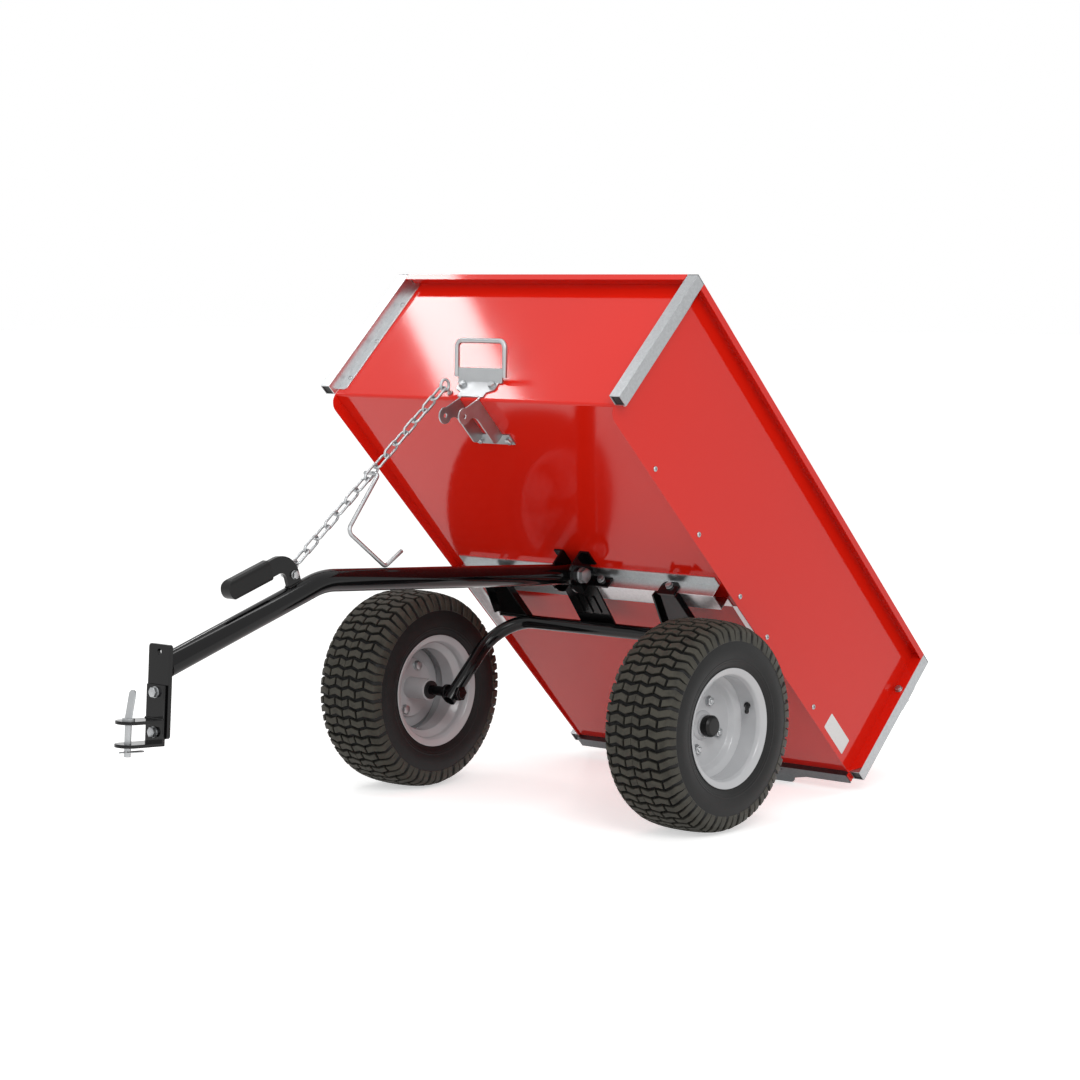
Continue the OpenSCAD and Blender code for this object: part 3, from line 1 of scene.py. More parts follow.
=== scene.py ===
import json
import math
import bmesh
import bpy
from mathutils import Matrix, Vector
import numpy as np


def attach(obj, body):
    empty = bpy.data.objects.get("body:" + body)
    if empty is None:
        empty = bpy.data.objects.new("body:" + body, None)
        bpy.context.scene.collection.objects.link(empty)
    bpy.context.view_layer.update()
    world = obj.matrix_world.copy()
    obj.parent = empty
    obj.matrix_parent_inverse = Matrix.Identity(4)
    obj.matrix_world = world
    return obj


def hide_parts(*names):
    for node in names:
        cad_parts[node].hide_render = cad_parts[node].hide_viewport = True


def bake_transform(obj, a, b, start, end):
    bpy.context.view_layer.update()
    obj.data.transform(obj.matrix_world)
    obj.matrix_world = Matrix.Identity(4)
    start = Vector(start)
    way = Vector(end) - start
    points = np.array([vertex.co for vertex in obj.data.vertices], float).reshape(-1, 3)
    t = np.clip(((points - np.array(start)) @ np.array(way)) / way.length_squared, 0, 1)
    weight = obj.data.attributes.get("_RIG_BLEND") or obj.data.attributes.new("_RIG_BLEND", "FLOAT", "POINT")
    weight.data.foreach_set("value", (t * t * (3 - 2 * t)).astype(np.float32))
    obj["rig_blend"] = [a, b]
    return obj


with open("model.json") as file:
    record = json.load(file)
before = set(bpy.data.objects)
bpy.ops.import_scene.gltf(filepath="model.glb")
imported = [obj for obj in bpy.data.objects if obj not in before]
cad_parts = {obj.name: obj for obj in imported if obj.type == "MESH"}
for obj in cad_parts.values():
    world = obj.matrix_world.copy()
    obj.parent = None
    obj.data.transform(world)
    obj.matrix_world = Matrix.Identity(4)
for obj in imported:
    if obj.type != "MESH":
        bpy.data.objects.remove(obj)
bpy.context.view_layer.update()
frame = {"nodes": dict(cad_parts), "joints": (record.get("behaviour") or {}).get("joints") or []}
cad = frame["nodes"]
print("frame:", len(cad), "solids")

mm = 0.001
joints = {joint["name"]: joint for joint in frame["joints"]}
stance = {"bend": 21, "barRear": 695, "barFront": 405}  # the drawbar's bend and its lengths on either side
# the tray in its own frame: origin on the axle, x towards the nose, posts centred outside the corners
box = {"floor": 262, "front": 602, "rear": -473, "side": 365, "post": 12.5}
ahead, toLeft, toRight, down = (1, 0, 0), (0, 1, 0), (0, -1, 0), (0, 0, -1)


def turned(angle, axis):
    return Matrix.Rotation(math.radians(angle), 4, axis)


def moved(x, y, z):
    return Matrix.Translation((x, y, z))


def angles(count):
    return [2 * math.pi * k / count for k in range(count)]


def spotOf(joint):
    return Vector([metres / mm for metres in joints[joint]["pos_m"]])


def leanOf(joint):
    # degrees by which a joint's axis leans back from upright, as exact as the axis is given
    x, y, z = joints[joint]["axis"]
    return round(math.degrees(math.atan2(-x, z)), 5)


world = Matrix.Scale(mm, 4)  # frames take millimetres
axleX, halfTrack, axleZ = spotOf("wheel_left_spin")
tray = world @ moved(axleX, 0, axleZ) @ turned(-leanOf("tailgate_slide"), "Y")
bar = world @ moved(*spotOf("drawbar_pivot")) @ turned(-leanOf("hitch_pin_turn"), "Y")
arm = bar @ moved(stance["barRear"], 0, 0) @ turned(stance["bend"], "Y")
wheels = {"left": world @ moved(axleX, halfTrack, axleZ),
          "right": world @ moved(axleX, -halfTrack, axleZ) @ turned(180, "Z")}
halfTurn = [math.pi * k / 10 for k in range(11)]


# materials

def hexColour(code):
    parts = [int(code[i:i + 2], 16) / 255 for i in (0, 2, 4)]
    return tuple(p / 12.92 if p <= 0.04045 else ((p + 0.055) / 1.055) ** 2.4 for p in parts) + (1.0,)


def addNode(tree, kind, settings=None, inputs=None):
    node = tree.nodes.new(kind)
    for key, value in (settings or {}).items():
        setattr(node, key, value)
    for key, value in (inputs or {}).items():
        if isinstance(value, bpy.types.NodeSocket):
            tree.links.new(value, node.inputs[key])
        else:
            node.inputs[key].default_value = value
    return node


def newMaterial(name, **sockets):
    made = bpy.data.materials.new(name)
    made.use_nodes = True
    tree = made.node_tree
    tree.nodes.clear()
    shader = addNode(tree, "ShaderNodeBsdfPrincipled", inputs=sockets)
    addNode(tree, "ShaderNodeOutputMaterial", inputs={"Surface": shader.outputs[0]})
    place = addNode(tree, "ShaderNodeTexCoord").outputs["Object"]
    return made, tree, shader, place


def perMetre(sizeMm):
    return 1 / (sizeMm * mm)


def dressShader(tree, shader, tone, rough, height=None, bump=(0, 0)):
    # bump: strength and depth in millimetres of the relief that height gives
    tree.links.new(tone, shader.inputs["Base Color"])
    tree.links.new(rough, shader.inputs["Roughness"])
    if height is not None:
        relief = addNode(tree, "ShaderNodeBump",
                         inputs={"Height": height, "Strength": bump[0], "Distance": bump[1] * mm})
        tree.links.new(relief.outputs[0], shader.inputs["Normal"])


def clouded(tree, place, mix, spread=(0.3, 0.7)):
    # clouds from one tone to the other, rougher where the second one shows
    noise = addNode(tree, "ShaderNodeTexNoise",
                    inputs={"Vector": place, "Scale": perMetre(mix["cloud"]), "Detail": mix["detail"]})
    cloud = noise.outputs["Fac"]
    dark, light = (hexColour(code) for code in mix["tones"])
    tone = addNode(tree, "ShaderNodeMix", {"data_type": "RGBA"}, {0: cloud, 6: dark, 7: light})
    low, high = mix["roughness"]
    rough = addNode(tree, "ShaderNodeMapRange",
                    inputs={0: cloud, 1: spread[0], 2: spread[1], 3: low, 4: high})
    return cloud, tone.outputs[2], rough.outputs[0]


def coated(name, coat):
    made, tree, shader, place = newMaterial(name, IOR=coat["ior"])
    tone, rough = clouded(tree, place, coat)[1:]
    peel = addNode(tree, "ShaderNodeTexNoise",
                   inputs={"Vector": place, "Scale": perMetre(coat["peel"]), "Detail": 1.0})
    dressShader(tree, shader, tone, rough, peel.outputs["Fac"], coat["ripple"])
    return made


# polyester powder coat on sheet steel: gloss, soft ripple like orange peel, even strong colour
redCoat = {"ior": 1.37, "tones": ("d31c0e", "d91f10"), "roughness": (0.06, 0.1), "cloud": 260, "detail": 3.0,
           "peel": 3.2, "ripple": (0.05, 0.4)}
redPowderCoat = coated("redPowderCoat", redCoat)

# the same coat in black on tubes and plates: deep, with sharp long lights
blackCoat = {"ior": 1.34, "tones": ("070708", "0b0b0c"), "roughness": (0.06, 0.12), "cloud": 90,
             "detail": 3.0, "peel": 2.6, "ripple": (0.1, 0.4)}
blackPowderCoat = coated("blackPowderCoat", blackCoat)

# hot dip galvanised strip: faint grey crystals a few millimetres wide, each with its own tone and gloss;
# posts mid grey; the right front post paler, painted reflection of the sky on its fin; the frame under the
# floor brighter, painted reflection of the bright floor; the tail beam darker, painted shade of its faces
# turned down and back
galvanised = {"posts": ("a6a8aa", "b1b3b5"), "paintedReflectionPale": ("cbcdcf", "d6d8d9"), "frame": ("c4c6c7", "cfd1d2"),
              "tail": ("505254", "5a5c5e")}
spangle = {"size": 3.5, "streak": 14, "warp": 4, "roughness": (0.28, 0.34)}
strips = {}
for part, tones in galvanised.items():
    strips[part], tree, shader, place = newMaterial("galvanisedSteel." + part, Metallic=1.0)
    streaks = addNode(tree, "ShaderNodeTexNoise",
                      inputs={"Vector": place, "Scale": perMetre(spangle["streak"]), "Detail": 3.0})
    warp = (spangle["warp"] * mm,) * 3
    bent = addNode(tree, "ShaderNodeVectorMath", {"operation": "MULTIPLY_ADD"},
                   {0: streaks.outputs["Color"], 1: warp, 2: place})
    cells = addNode(tree, "ShaderNodeTexVoronoi",
                    inputs={"Vector": bent.outputs[0], "Scale": perMetre(spangle["size"])})
    grey = addNode(tree, "ShaderNodeSeparateColor", inputs={0: cells.outputs["Color"]})
    tone = addNode(tree, "ShaderNodeMix", {"data_type": "RGBA"},
                   {0: grey.outputs[0], 6: hexColour(tones[0]), 7: hexColour(tones[1])})
    low, high = spangle["roughness"]
    rough = addNode(tree, "ShaderNodeMapRange", inputs={0: grey.outputs[1], 3: low, 4: high})
    dressShader(tree, shader, tone.outputs[2], rough.outputs[0])

# bright zinc plate on rod, chain and fasteners: pale, slightly blue, with faint handling marks
zincPlate = {"tones": ("a6a8aa", "b2b4b5"), "cloud": 24, "detail": 2.0, "roughness": (0.36, 0.42)}
brightZinc, tree, shader, place = newMaterial("brightZinc", Metallic=1.0)
dressShader(tree, shader, *clouded(tree, place, zincPlate)[1:])

# stove enamel on the wheels: silver grey, satin, very fine ripple
enamel = {"ior": 1.5, "tones": ("b8b9bb", "bcbdbf"), "roughness": (0.15, 0.2), "cloud": 60, "detail": 4.0,
          "peel": 2.4, "ripple": (0.06, 0.3)}
greyEnamel = coated("greyEnamel", enamel)

# vulcanised tyre rubber: the tread near black as painted shade of its grooves, satin side walls, a warm grey
# dust bloom with a painted sheen on the block tops
tyreMix = {"ior": 1.31, "groove": "080808", "tones": ("131313", "202020"), "cloud": 22, "bloomAndPaintedSheen": "3f3d36",
           "bloomAndPaintedSheenGain": 1.8, "grain": 1.6, "bump": (0.25, 0.4), "roughness": (0.48, 0.7), "wallTo": 184,
           "treadFrom": 190}
tyreRubber, tree, shader, place = newMaterial("tyreRubber", IOR=tyreMix["ior"])
fromAxle = addNode(tree, "ShaderNodeVectorMath", {"operation": "SUBTRACT"},
                   {0: place, 1: (axleX * mm, 0, axleZ * mm)})
flat = addNode(tree, "ShaderNodeVectorMath", {"operation": "MULTIPLY"},
               {0: fromAxle.outputs[0], 1: (1, 0, 1)})
reach = addNode(tree, "ShaderNodeVectorMath", {"operation": "LENGTH"}, {0: flat.outputs[0]})
inTread = addNode(tree, "ShaderNodeMapRange", inputs={0: reach.outputs["Value"], 1: tyreMix["wallTo"] * mm,
                                                      2: tyreMix["treadFrom"] * mm}).outputs[0]
# the block tops carry 1 in "top": there the bloom and its painted sheen go
onTop = addNode(tree, "ShaderNodeAttribute", {"attribute_name": "top"}).outputs["Fac"]  # 1 on the block tops
noise = addNode(tree, "ShaderNodeTexNoise", inputs={"Vector": place, "Scale": perMetre(tyreMix["cloud"]),
                                                    "Detail": 6.0, "Roughness": 0.6})
cloud = noise.outputs["Fac"]
dark, light = (hexColour(code) for code in tyreMix["tones"])
wall = addNode(tree, "ShaderNodeMix", {"data_type": "RGBA"}, {0: cloud, 6: dark, 7: light})
# the whole tread band takes the groove colour: painted shade of the grooves
base = addNode(tree, "ShaderNodeMix", {"data_type": "RGBA"},
               {0: inTread, 6: wall.outputs[2], 7: hexColour(tyreMix["groove"])})
# mottled lightening of the block tops: partly a warm dust bloom, partly a painted sheen
share = addNode(tree, "ShaderNodeMath", {"operation": "MULTIPLY"}, {0: onTop, 1: cloud})
bloomAndPaintedSheen = addNode(tree, "ShaderNodeMath", {"operation": "MULTIPLY", "use_clamp": True},
                {0: share.outputs[0], 1: tyreMix["bloomAndPaintedSheenGain"]})
tone = addNode(tree, "ShaderNodeMix", {"data_type": "RGBA"},
               {0: bloomAndPaintedSheen.outputs[0], 6: base.outputs[2], 7: hexColour(tyreMix["bloomAndPaintedSheen"])})
low, high = tyreMix["roughness"]
rough = addNode(tree, "ShaderNodeMapRange", inputs={0: inTread, 3: low, 4: high})
grain = addNode(tree, "ShaderNodeTexNoise",
                inputs={"Vector": place, "Scale": perMetre(tyreMix["grain"]), "Detail": 3.0})
dressShader(tree, shader, tone.outputs[2], rough.outputs[0], grain.outputs["Fac"], tyreMix["bump"])

# moulded rubber and plastic: black, the rubber with a soft shine, the plastic matt with a spark-eroded grain
moulded = {"softRubber": {"tones": ("080808", "0d0d0d"), "cloud": 1.4, "detail": 4.0,
                          "roughness": (0.26, 0.36), "bump": (0.08, 0.3)},
           "blackPlastic": {"tones": ("161617", "1f1f20"), "cloud": 0.9, "detail": 4.0,
                            "roughness": (0.36, 0.5), "bump": (0.15, 0.3)}}
mouldings = {}
for name, mix in moulded.items():
    mouldings[name], tree, shader, place = newMaterial(name, IOR=1.33)
    grain, tone, rough = clouded(tree, place, mix, (0.0, 1.0))
    dressShader(tree, shader, tone, rough, grain, mix["bump"])

# printed film for the blank label: off-white, satin, slightly mottled
film = {"tones": ("d9dad9", "e6e7e6"), "cloud": 4, "detail": 4.0, "roughness": (0.38, 0.38)}
labelFilm, tree, shader, place = newMaterial("labelFilm", IOR=1.45)
dressShader(tree, shader, *clouded(tree, place, film)[1:])

# what each slot is made of, where a piece names nothing else
finishes = {"red_paint": redPowderCoat, "black_paint": blackPowderCoat, "galvanised": strips["posts"],
            "zinc": brightZinc, "rim_paint": greyEnamel, "tyre_rubber": tyreRubber,
            "soft_rubber": mouldings["softRubber"], "black_plastic": mouldings["blackPlastic"]}
print("materials done")


# shapes

def placed(name, data):
    made = bpy.data.objects.new(name, data)
    bpy.context.scene.collection.objects.link(made)
    return made


def newPiece(name, mesh, body, slot, nodes=(), finish=None):
    mesh.name = name
    mesh.materials.clear()
    mesh.materials.append(finish or finishes[slot])
    for face in mesh.polygons:
        face.material_index = 0
    piece = placed(name, mesh)
    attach(piece, body)
    if nodes:
        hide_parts(*nodes)


def settled(holder):
    # keeps a helper object's evaluated mesh and drops the helper
    graph = bpy.context.evaluated_depsgraph_get()
    graph.update()
    mesh = bpy.data.meshes.new_from_object(holder.evaluated_get(graph), depsgraph=graph)
    bpy.data.objects.remove(holder)
    return mesh


def baked(mesh, kind, **settings):
    holder = placed("holder", mesh)
    modifier = holder.modifiers.new(kind, kind)
    for key, value in settings.items():
        setattr(modifier, key, value)
    return settled(holder)


def smoothed(mesh, angle=35):
    for face in mesh.polygons:
        face.use_smooth = True
    mesh.set_sharp_from_angle(angle=math.radians(angle))
    return mesh


def meshOf(build, place=None):
    if place is not None:
        build.transform(place)
    mesh = bpy.data.meshes.new("made")
    build.to_mesh(mesh)
    build.free()
    return mesh


def outward(build):
    bmesh.ops.recalc_face_normals(build, faces=build.faces)
    return build


def closed(build):
    bmesh.ops.remove_doubles(build, verts=build.verts, dist=1e-6)
    return outward(build)


edgeRules = {"merge": 2e-6, "flat": 0.4, "fold": 32}  # metres, degrees, degrees


def eased(node, radius, fine, wide, segments, reshape=None):
    # copy of a solid with its edges broken: wide sheet folds take radius, thin cut edges take fine
    build = bmesh.new()
    build.from_mesh(cad[node].data)
    bmesh.ops.remove_doubles(build, verts=build.verts, dist=edgeRules["merge"])
    if reshape:
        reshape(build)
    bmesh.ops.dissolve_limit(build, angle_limit=math.radians(edgeRules["flat"]), verts=build.verts,
                             edges=build.edges)
    weight = build.edges.layers.float.new("bevel_weight_edge")
    for edge in build.edges:
        if len(edge.link_faces) != 2 or edge.calc_face_angle_signed(0) < math.radians(edgeRules["fold"]):
            continue
        width = min(face.calc_area() for face in edge.link_faces) / max(edge.calc_length(), 1e-6)
        edge[weight] = 1.0 if width > wide * mm else min(1.0, fine / radius)
    mesh = baked(meshOf(build), "BEVEL", limit_method="WEIGHT", width=radius * mm, segments=segments,
                 use_clamp_overlap=True)
    return baked(smoothed(mesh), "WEIGHTED_NORMAL", keep_sharp=True)


def bridged(build, rings):
    # skin between neighbouring rings of equal count
    for here, there in zip(rings, rings[1:]):
        for k in range(len(here)):
            after = (k + 1) % len(here)
            build.faces.new((here[k], here[after], there[after], there[k]))


def lathe(profile, steps):
    # closed outline of (along y, radius) turned about the y axis, in millimetres
    build = bmesh.new()
    rings = []
    for a in angles(steps):
        rings.append([build.verts.new((r * math.cos(a), y, r * math.sin(a))) for y, r in profile])
    bridged(build, rings + rings[:1])
    return closed(build)


def rounded(corners, steps=4):
    # outline with each corner (y, r, radius) turned into an arc
    points = []
    for i, (y, r, radius) in enumerate(corners):
        here = Vector((y, r))
        before = Vector(corners[i - 1][:2]) - here
        after = Vector(corners[(i + 1) % len(corners)][:2]) - here
        if radius <= 0:
            points.append((y, r))
            continue
        opening = before.angle(after)
        cut = min(radius / math.tan(opening / 2), before.length * 0.49, after.length * 0.49)
        start, end = here + before.normalized() * cut, here + after.normalized() * cut
        for k in range(steps + 1):
            t = k / steps
            mid = start * (1 - t) ** 2 + here * 2 * t * (1 - t) + end * t * t
            points.append((mid.x, max(mid.y, 0.01)))
    return points


# Geometry Nodes

def newTree(name, **sockets):
    tree = bpy.data.node_groups.new(name, "GeometryNodeTree")
    tree.interface.new_socket("Geometry", in_out="INPUT", socket_type="NodeSocketGeometry")
    for label, kind in sockets.items():
        tree.interface.new_socket(label, in_out="INPUT", socket_type="NodeSocket" + kind)
    tree.interface.new_socket("Finish", in_out="INPUT", socket_type="NodeSocketMaterial")
    tree.interface.new_socket("Geometry", in_out="OUTPUT", socket_type="NodeSocketGeometry")
    return tree, addNode(tree, "NodeGroupInput").outputs


def endTree(tree, geometry, finish):
    whole = addNode(tree, "GeometryNodeRealizeInstances", inputs={0: geometry})
    painted = addNode(tree, "GeometryNodeSetMaterial", inputs={0: whole.outputs[0], "Material": finish})
    addNode(tree, "NodeGroupOutput", inputs={0: painted.outputs[0]})


def grown(base, tree, **values):
    # runs a tree on a base mesh and keeps the result as a plain mesh
    holder = placed("holder", base)
    modifier = holder.modifiers.new("grow", "NODES")
    modifier.node_group = tree
    for item in tree.interface.items_tree:
        if item.in_out == "INPUT" and item.name in values:
            modifier[item.identifier] = values[item.name]
    return settled(holder)


def wire(points, place, closedPath=False):
    mesh = bpy.data.meshes.new("path")
    edges = [(i, i + 1) for i in range(len(points) - 1)]
    if closedPath:
        edges.append((len(points) - 1, 0))
    mesh.from_pydata([place @ Vector(p) for p in points], edges, [])
    return mesh


# rod or tube along a bent path
rodTree, put = newTree("bentRod", Radius="Float", Bend="Float", Steps="Int", Sides="Int", Caps="Bool")
path = addNode(rodTree, "GeometryNodeMeshToCurve", inputs={0: put["Geometry"]})
filleted = addNode(rodTree, "GeometryNodeFilletCurve", {"mode": "POLY"},
                   {"Curve": path.outputs[0], "Count": put["Steps"], "Radius": put["Bend"],
                    "Limit Radius": True})
ring = addNode(rodTree, "GeometryNodeCurvePrimitiveCircle",
               inputs={"Resolution": put["Sides"], "Radius": put["Radius"]})
swept = addNode(rodTree, "GeometryNodeCurveToMesh",
                inputs={"Curve": filleted.outputs[0], "Profile Curve": ring.outputs[0],
                        "Fill Caps": put["Caps"]})
endTree(rodTree, swept.outputs[0], put["Finish"])
noBend = 0.001  # for paths that are curved already


def rod(points, place, diameter, bend, sides, wall=0, closedPath=False, chamfer=0.8, finish=brightZinc):
    mesh = grown(wire(points, place, closedPath), rodTree, Radius=diameter / 2 * mm, Bend=bend * mm, Steps=10,
                 Sides=sides, Caps=wall == 0 and not closedPath, Finish=finish)
    build = bmesh.new()
    build.from_mesh(mesh)
    mesh = meshOf(closed(build))
    if wall:
        mesh = baked(mesh, "SOLIDIFY", thickness=wall * mm, offset=-1, use_even_offset=True)
    if not closedPath:
        mesh = baked(mesh, "BEVEL", limit_method="ANGLE", angle_limit=math.radians(60),
                     width=chamfer * mm, segments=2)
    return smoothed(mesh, 40)


# shape repeated on points that carry a facing vector
studTree, put = newTree("studs", Shape="Object")
shape = addNode(studTree, "GeometryNodeObjectInfo", inputs={"Object": put["Shape"]})
facing = addNode(studTree, "GeometryNodeInputNamedAttribute", {"data_type": "FLOAT_VECTOR"},
                 {"Name": "facing"})
aimed = addNode(studTree, "FunctionNodeAlignRotationToVector", {"axis": "Z"}, {"Vector": facing.outputs[0]})
studs = addNode(studTree, "GeometryNodeInstanceOnPoints",
                inputs={"Points": put["Geometry"], "Instance": shape.outputs["Geometry"],
                        "Rotation": aimed.outputs[0]})
endTree(studTree, studs.outputs[0], put["Finish"])


def studded(spots, shapeMesh):
    # spots: (frame, point, direction) in millimetres of that frame
    mesh = bpy.data.meshes.new("spots")
    mesh.from_pydata([place @ Vector(point) for place, point, way in spots], [], [])
    facings = mesh.attributes.new("facing", "FLOAT_VECTOR", "POINT")
    for i, (place, point, way) in enumerate(spots):
        facings.data[i].vector = (place.to_3x3() @ Vector(way)).normalized()
    holder = bpy.data.objects.new("stud", shapeMesh)
    mesh = grown(mesh, studTree, Shape=holder, Finish=brightZinc)
    bpy.data.objects.remove(holder)
    return smoothed(mesh, 30)


# beads of a weld along a path
weldTree, put = newTree("weldBeads", Pitch="Float", Size="Float")
path = addNode(weldTree, "GeometryNodeMeshToCurve", inputs={0: put["Geometry"]})
spaced = addNode(weldTree, "GeometryNodeResampleCurve", {"mode": "LENGTH"},
                 {"Curve": path.outputs[0], "Length": put["Pitch"]})
tangent = addNode(weldTree, "GeometryNodeInputTangent")
aimed = addNode(weldTree, "FunctionNodeAlignRotationToVector", {"axis": "Z"}, {"Vector": tangent.outputs[0]})
drop = addNode(weldTree, "GeometryNodeMeshUVSphere",
               inputs={"Segments": 10, "Rings": 6, "Radius": put["Size"]})
beads = addNode(weldTree, "GeometryNodeInstanceOnPoints",
                inputs={"Points": spaced.outputs[0], "Instance": drop.outputs[0],
                        "Rotation": aimed.outputs[0], "Scale": (1, 1, 0.75)})
endTree(weldTree, beads.outputs[0], put["Finish"])

# tread sector repeated round the wheel
treadTree, put = newTree("treadRing", Sectors="Int")
spots = addNode(treadTree, "GeometryNodeMeshLine", {"mode": "OFFSET"},
                {"Count": put["Sectors"], "Offset": (0, 0, 0)})
number = addNode(treadTree, "GeometryNodeInputIndex")
step = addNode(treadTree, "ShaderNodeMath", {"operation": "DIVIDE"}, {0: 2 * math.pi, 1: put["Sectors"]})
angle = addNode(treadTree, "ShaderNodeMath", {"operation": "MULTIPLY"},
                {0: number.outputs[0], 1: step.outputs[0]})
spin = addNode(treadTree, "FunctionNodeAxisAngleToRotation",
               inputs={"Axis": toRight, "Angle": angle.outputs[0]})
sectors = addNode(treadTree, "GeometryNodeInstanceOnPoints",
                  inputs={"Points": spots.outputs[0], "Instance": put["Geometry"],
                          "Rotation": spin.outputs[0]})
endTree(treadTree, sectors.outputs[0], put["Finish"])

# links of the chain, every second one turned
chainTree, put = newTree("chainLinks", Links="Int", First="Vector", Step="Vector", Even="Vector",
                         Odd="Vector")
spots = addNode(chainTree, "GeometryNodeMeshLine", {"mode": "OFFSET"},
                {"Count": put["Links"], "Start Location": put["First"], "Offset": put["Step"]})
number = addNode(chainTree, "GeometryNodeInputIndex")
parity = addNode(chainTree, "ShaderNodeMath", {"operation": "MODULO"}, {0: number.outputs[0], 1: 2.0})
pick = addNode(chainTree, "GeometryNodeSwitch", {"input_type": "VECTOR"},
               {0: parity.outputs[0], 1: put["Even"], 2: put["Odd"]})
spin = addNode(chainTree, "FunctionNodeEulerToRotation", inputs={0: pick.outputs[0]})
links = addNode(chainTree, "GeometryNodeInstanceOnPoints",
                inputs={"Points": spots.outputs[0], "Instance": put["Geometry"],
                        "Rotation": spin.outputs[0]})
endTree(chainTree, links.outputs[0], put["Finish"])
print("node trees done")


# sheets fitted closer to the photograph than their solids: the skirts rise towards the tail,
# the rails end behind the axle, and the tail beam is the sill between the rear posts
fit = {"skirt": 26, "lift": (3.5, 22.5), "railEnd": -110, "sill": 25, "lip": 21, "lipFrom": 10,
       "flange": 366, "flangeLift": 14, "near": 0.1}


def skirtLift(x):
    share = (box["front"] - x) / (box["front"] - box["rear"])
    return fit["lift"][0] + (fit["lift"][1] - fit["lift"][0]) * share


def inTray(build, change):
    back = tray.inverted()
    for vert in build.verts:
        spot = back @ vert.co
        change(spot)
        vert.co = tray @ spot


def raisedWall(build):
    def change(spot):
        if spot.z < box["floor"] - fit["near"]:
            spot.z += skirtLift(spot.x)
        elif spot.z < box["floor"] + fit["near"] and abs(spot.y) > fit["flange"]:
            spot.z += fit["flangeLift"]
    inTray(build, change)


def raisedSkirt(build):
    def change(spot):
        if spot.z < box["floor"] - fit["near"]:
            share = 1 - skirtLift(spot.x) / fit["skirt"]
            spot.z = box["floor"] - (box["floor"] - spot.z) * share
    inTray(build, change)


def shortRail(build):
    whole = build.verts[:] + build.edges[:] + build.faces[:]
    bmesh.ops.bisect_plane(build, geom=whole, dist=1e-6, plane_co=tray @ Vector((fit["railEnd"], 0, 0)),
                           plane_no=tray.to_3x3() @ Vector(ahead), clear_inner=True)
    bmesh.ops.holes_fill(build, edges=[edge for edge in build.edges if edge.is_boundary])
    raisedSkirt(build)


def sillBeam(build):
    def change(spot):
        if spot.x > box["rear"] + fit["lipFrom"]:
            spot.x -= fit["lip"]
        elif spot.x > box["rear"] - 1:
            spot.x -= fit["sill"]
    inTray(build, change)


# tray sheets, posts and frame: body, slot, material, radius of the folds, nodes with their changes of shape
sheetWork = [
    ("tray", "red_paint", redPowderCoat, 1.8,
     {"tray_pan": raisedSkirt, "side_wall_left": raisedWall, "side_wall_right": raisedWall}),
    ("gate", "red_paint", redPowderCoat, 1.8, {"tailgate": None}),
    ("tray", "galvanised", strips["posts"], 2.4, {"post_front_left": None}),
    # right front post in the paler copy: painted reflection of the sky on its fin
    ("tray", "galvanised", strips["paintedReflectionPale"], 2.4, {"post_front_right": None}),
    ("tray", "galvanised", strips["posts"], 2.4, {"post_rear_left": None, "post_rear_right": None}),
    # frame under the floor in the brighter copy: painted reflection of the bright floor
    ("tray", "galvanised", strips["frame"], 1.8,
     {"cross_member": None, "floor_rail_left": shortRail, "floor_rail_right": shortRail}),
    # tail beam in the darker copy: painted shade of its faces turned down and back
    ("tray", "galvanised", strips["tail"], 1.8, {"tail_beam": sillBeam}),
]
cutEdge = {"radius": 0.35, "wide": 8}
for body, slot, finish, radius, nodes in sheetWork:
    for node, reshape in nodes.items():
        mesh = eased(node, radius, cutEdge["radius"], cutEdge["wide"], 3, reshape)
        newPiece(node + ".folded", mesh, body, slot, [node], finish)

# plates and turned parts, one small edge radius each: body, slot, radius, nodes
plateWork = [
    ("tray", "black_plastic", 0.8, ["post_caps"]),
    ("latch_left", "galvanised", 0.6, ["gate_latch_left"]),
    ("latch_right", "galvanised", 0.6, ["gate_latch_right"]),
    ("tray", "zinc", 0.7, ["latch_bracket"]),
    ("tray", "black_paint", 0.8, ["hinge_bracket"]),
    ("tray", "black_paint", 0.9, ["axle_bracket_left", "axle_bracket_right"]),
    ("tray", "black_paint", 1.0, ["spindle_left", "spindle_right"]),
    ("drawbar", "black_paint", 1.4, ["hitch_plate"]),
    ("drawbar", "black_paint", 1.2, ["clevis"]),
    ("drawbar", "black_paint", 1.6, ["grip_bar"]),
    ("drawbar", "soft_rubber", 5, ["grip_sleeve"]),
    ("drawbar", "black_paint", 0.6, ["pivot_sleeve"]),
    ("pin", "zinc", 0.6, ["hitch_pin"]),
    ("wheel_left", "rim_paint", 1.0, ["hub_left"]),
    ("wheel_right", "rim_paint", 1.0, ["hub_right"]),
    ("wheel_left", "black_plastic", 0.6, ["bushes_left"]),
    ("wheel_right", "black_plastic", 0.6, ["bushes_right"]),
]
for body, slot, radius, nodes in plateWork:
    for node in nodes:
        mesh = eased(node, radius, radius, 0, max(2, round(radius)))
        newPiece(node + ".eased", mesh, body, slot, [node])
print("sheets and plates done")

# tubes and rods
drawbar = {"size": 42.4, "wall": 3, "bend": 160, "tail": 14, "short": 8, "sides": 48, "chamfer": 0.6}
toBar = bar.inverted() @ arm
barPoints = [(-drawbar["tail"], 0, 0), toBar @ Vector((0, 0, 0)),
             toBar @ Vector((stance["barFront"] - drawbar["short"], 0, 0))]
mesh = rod(barPoints, bar, drawbar["size"], drawbar["bend"], drawbar["sides"], drawbar["wall"],
           chamfer=drawbar["chamfer"], finish=blackPowderCoat)
newPiece("drawbarTube", mesh, "drawbar", "black_paint", ["drawbar_tube"])

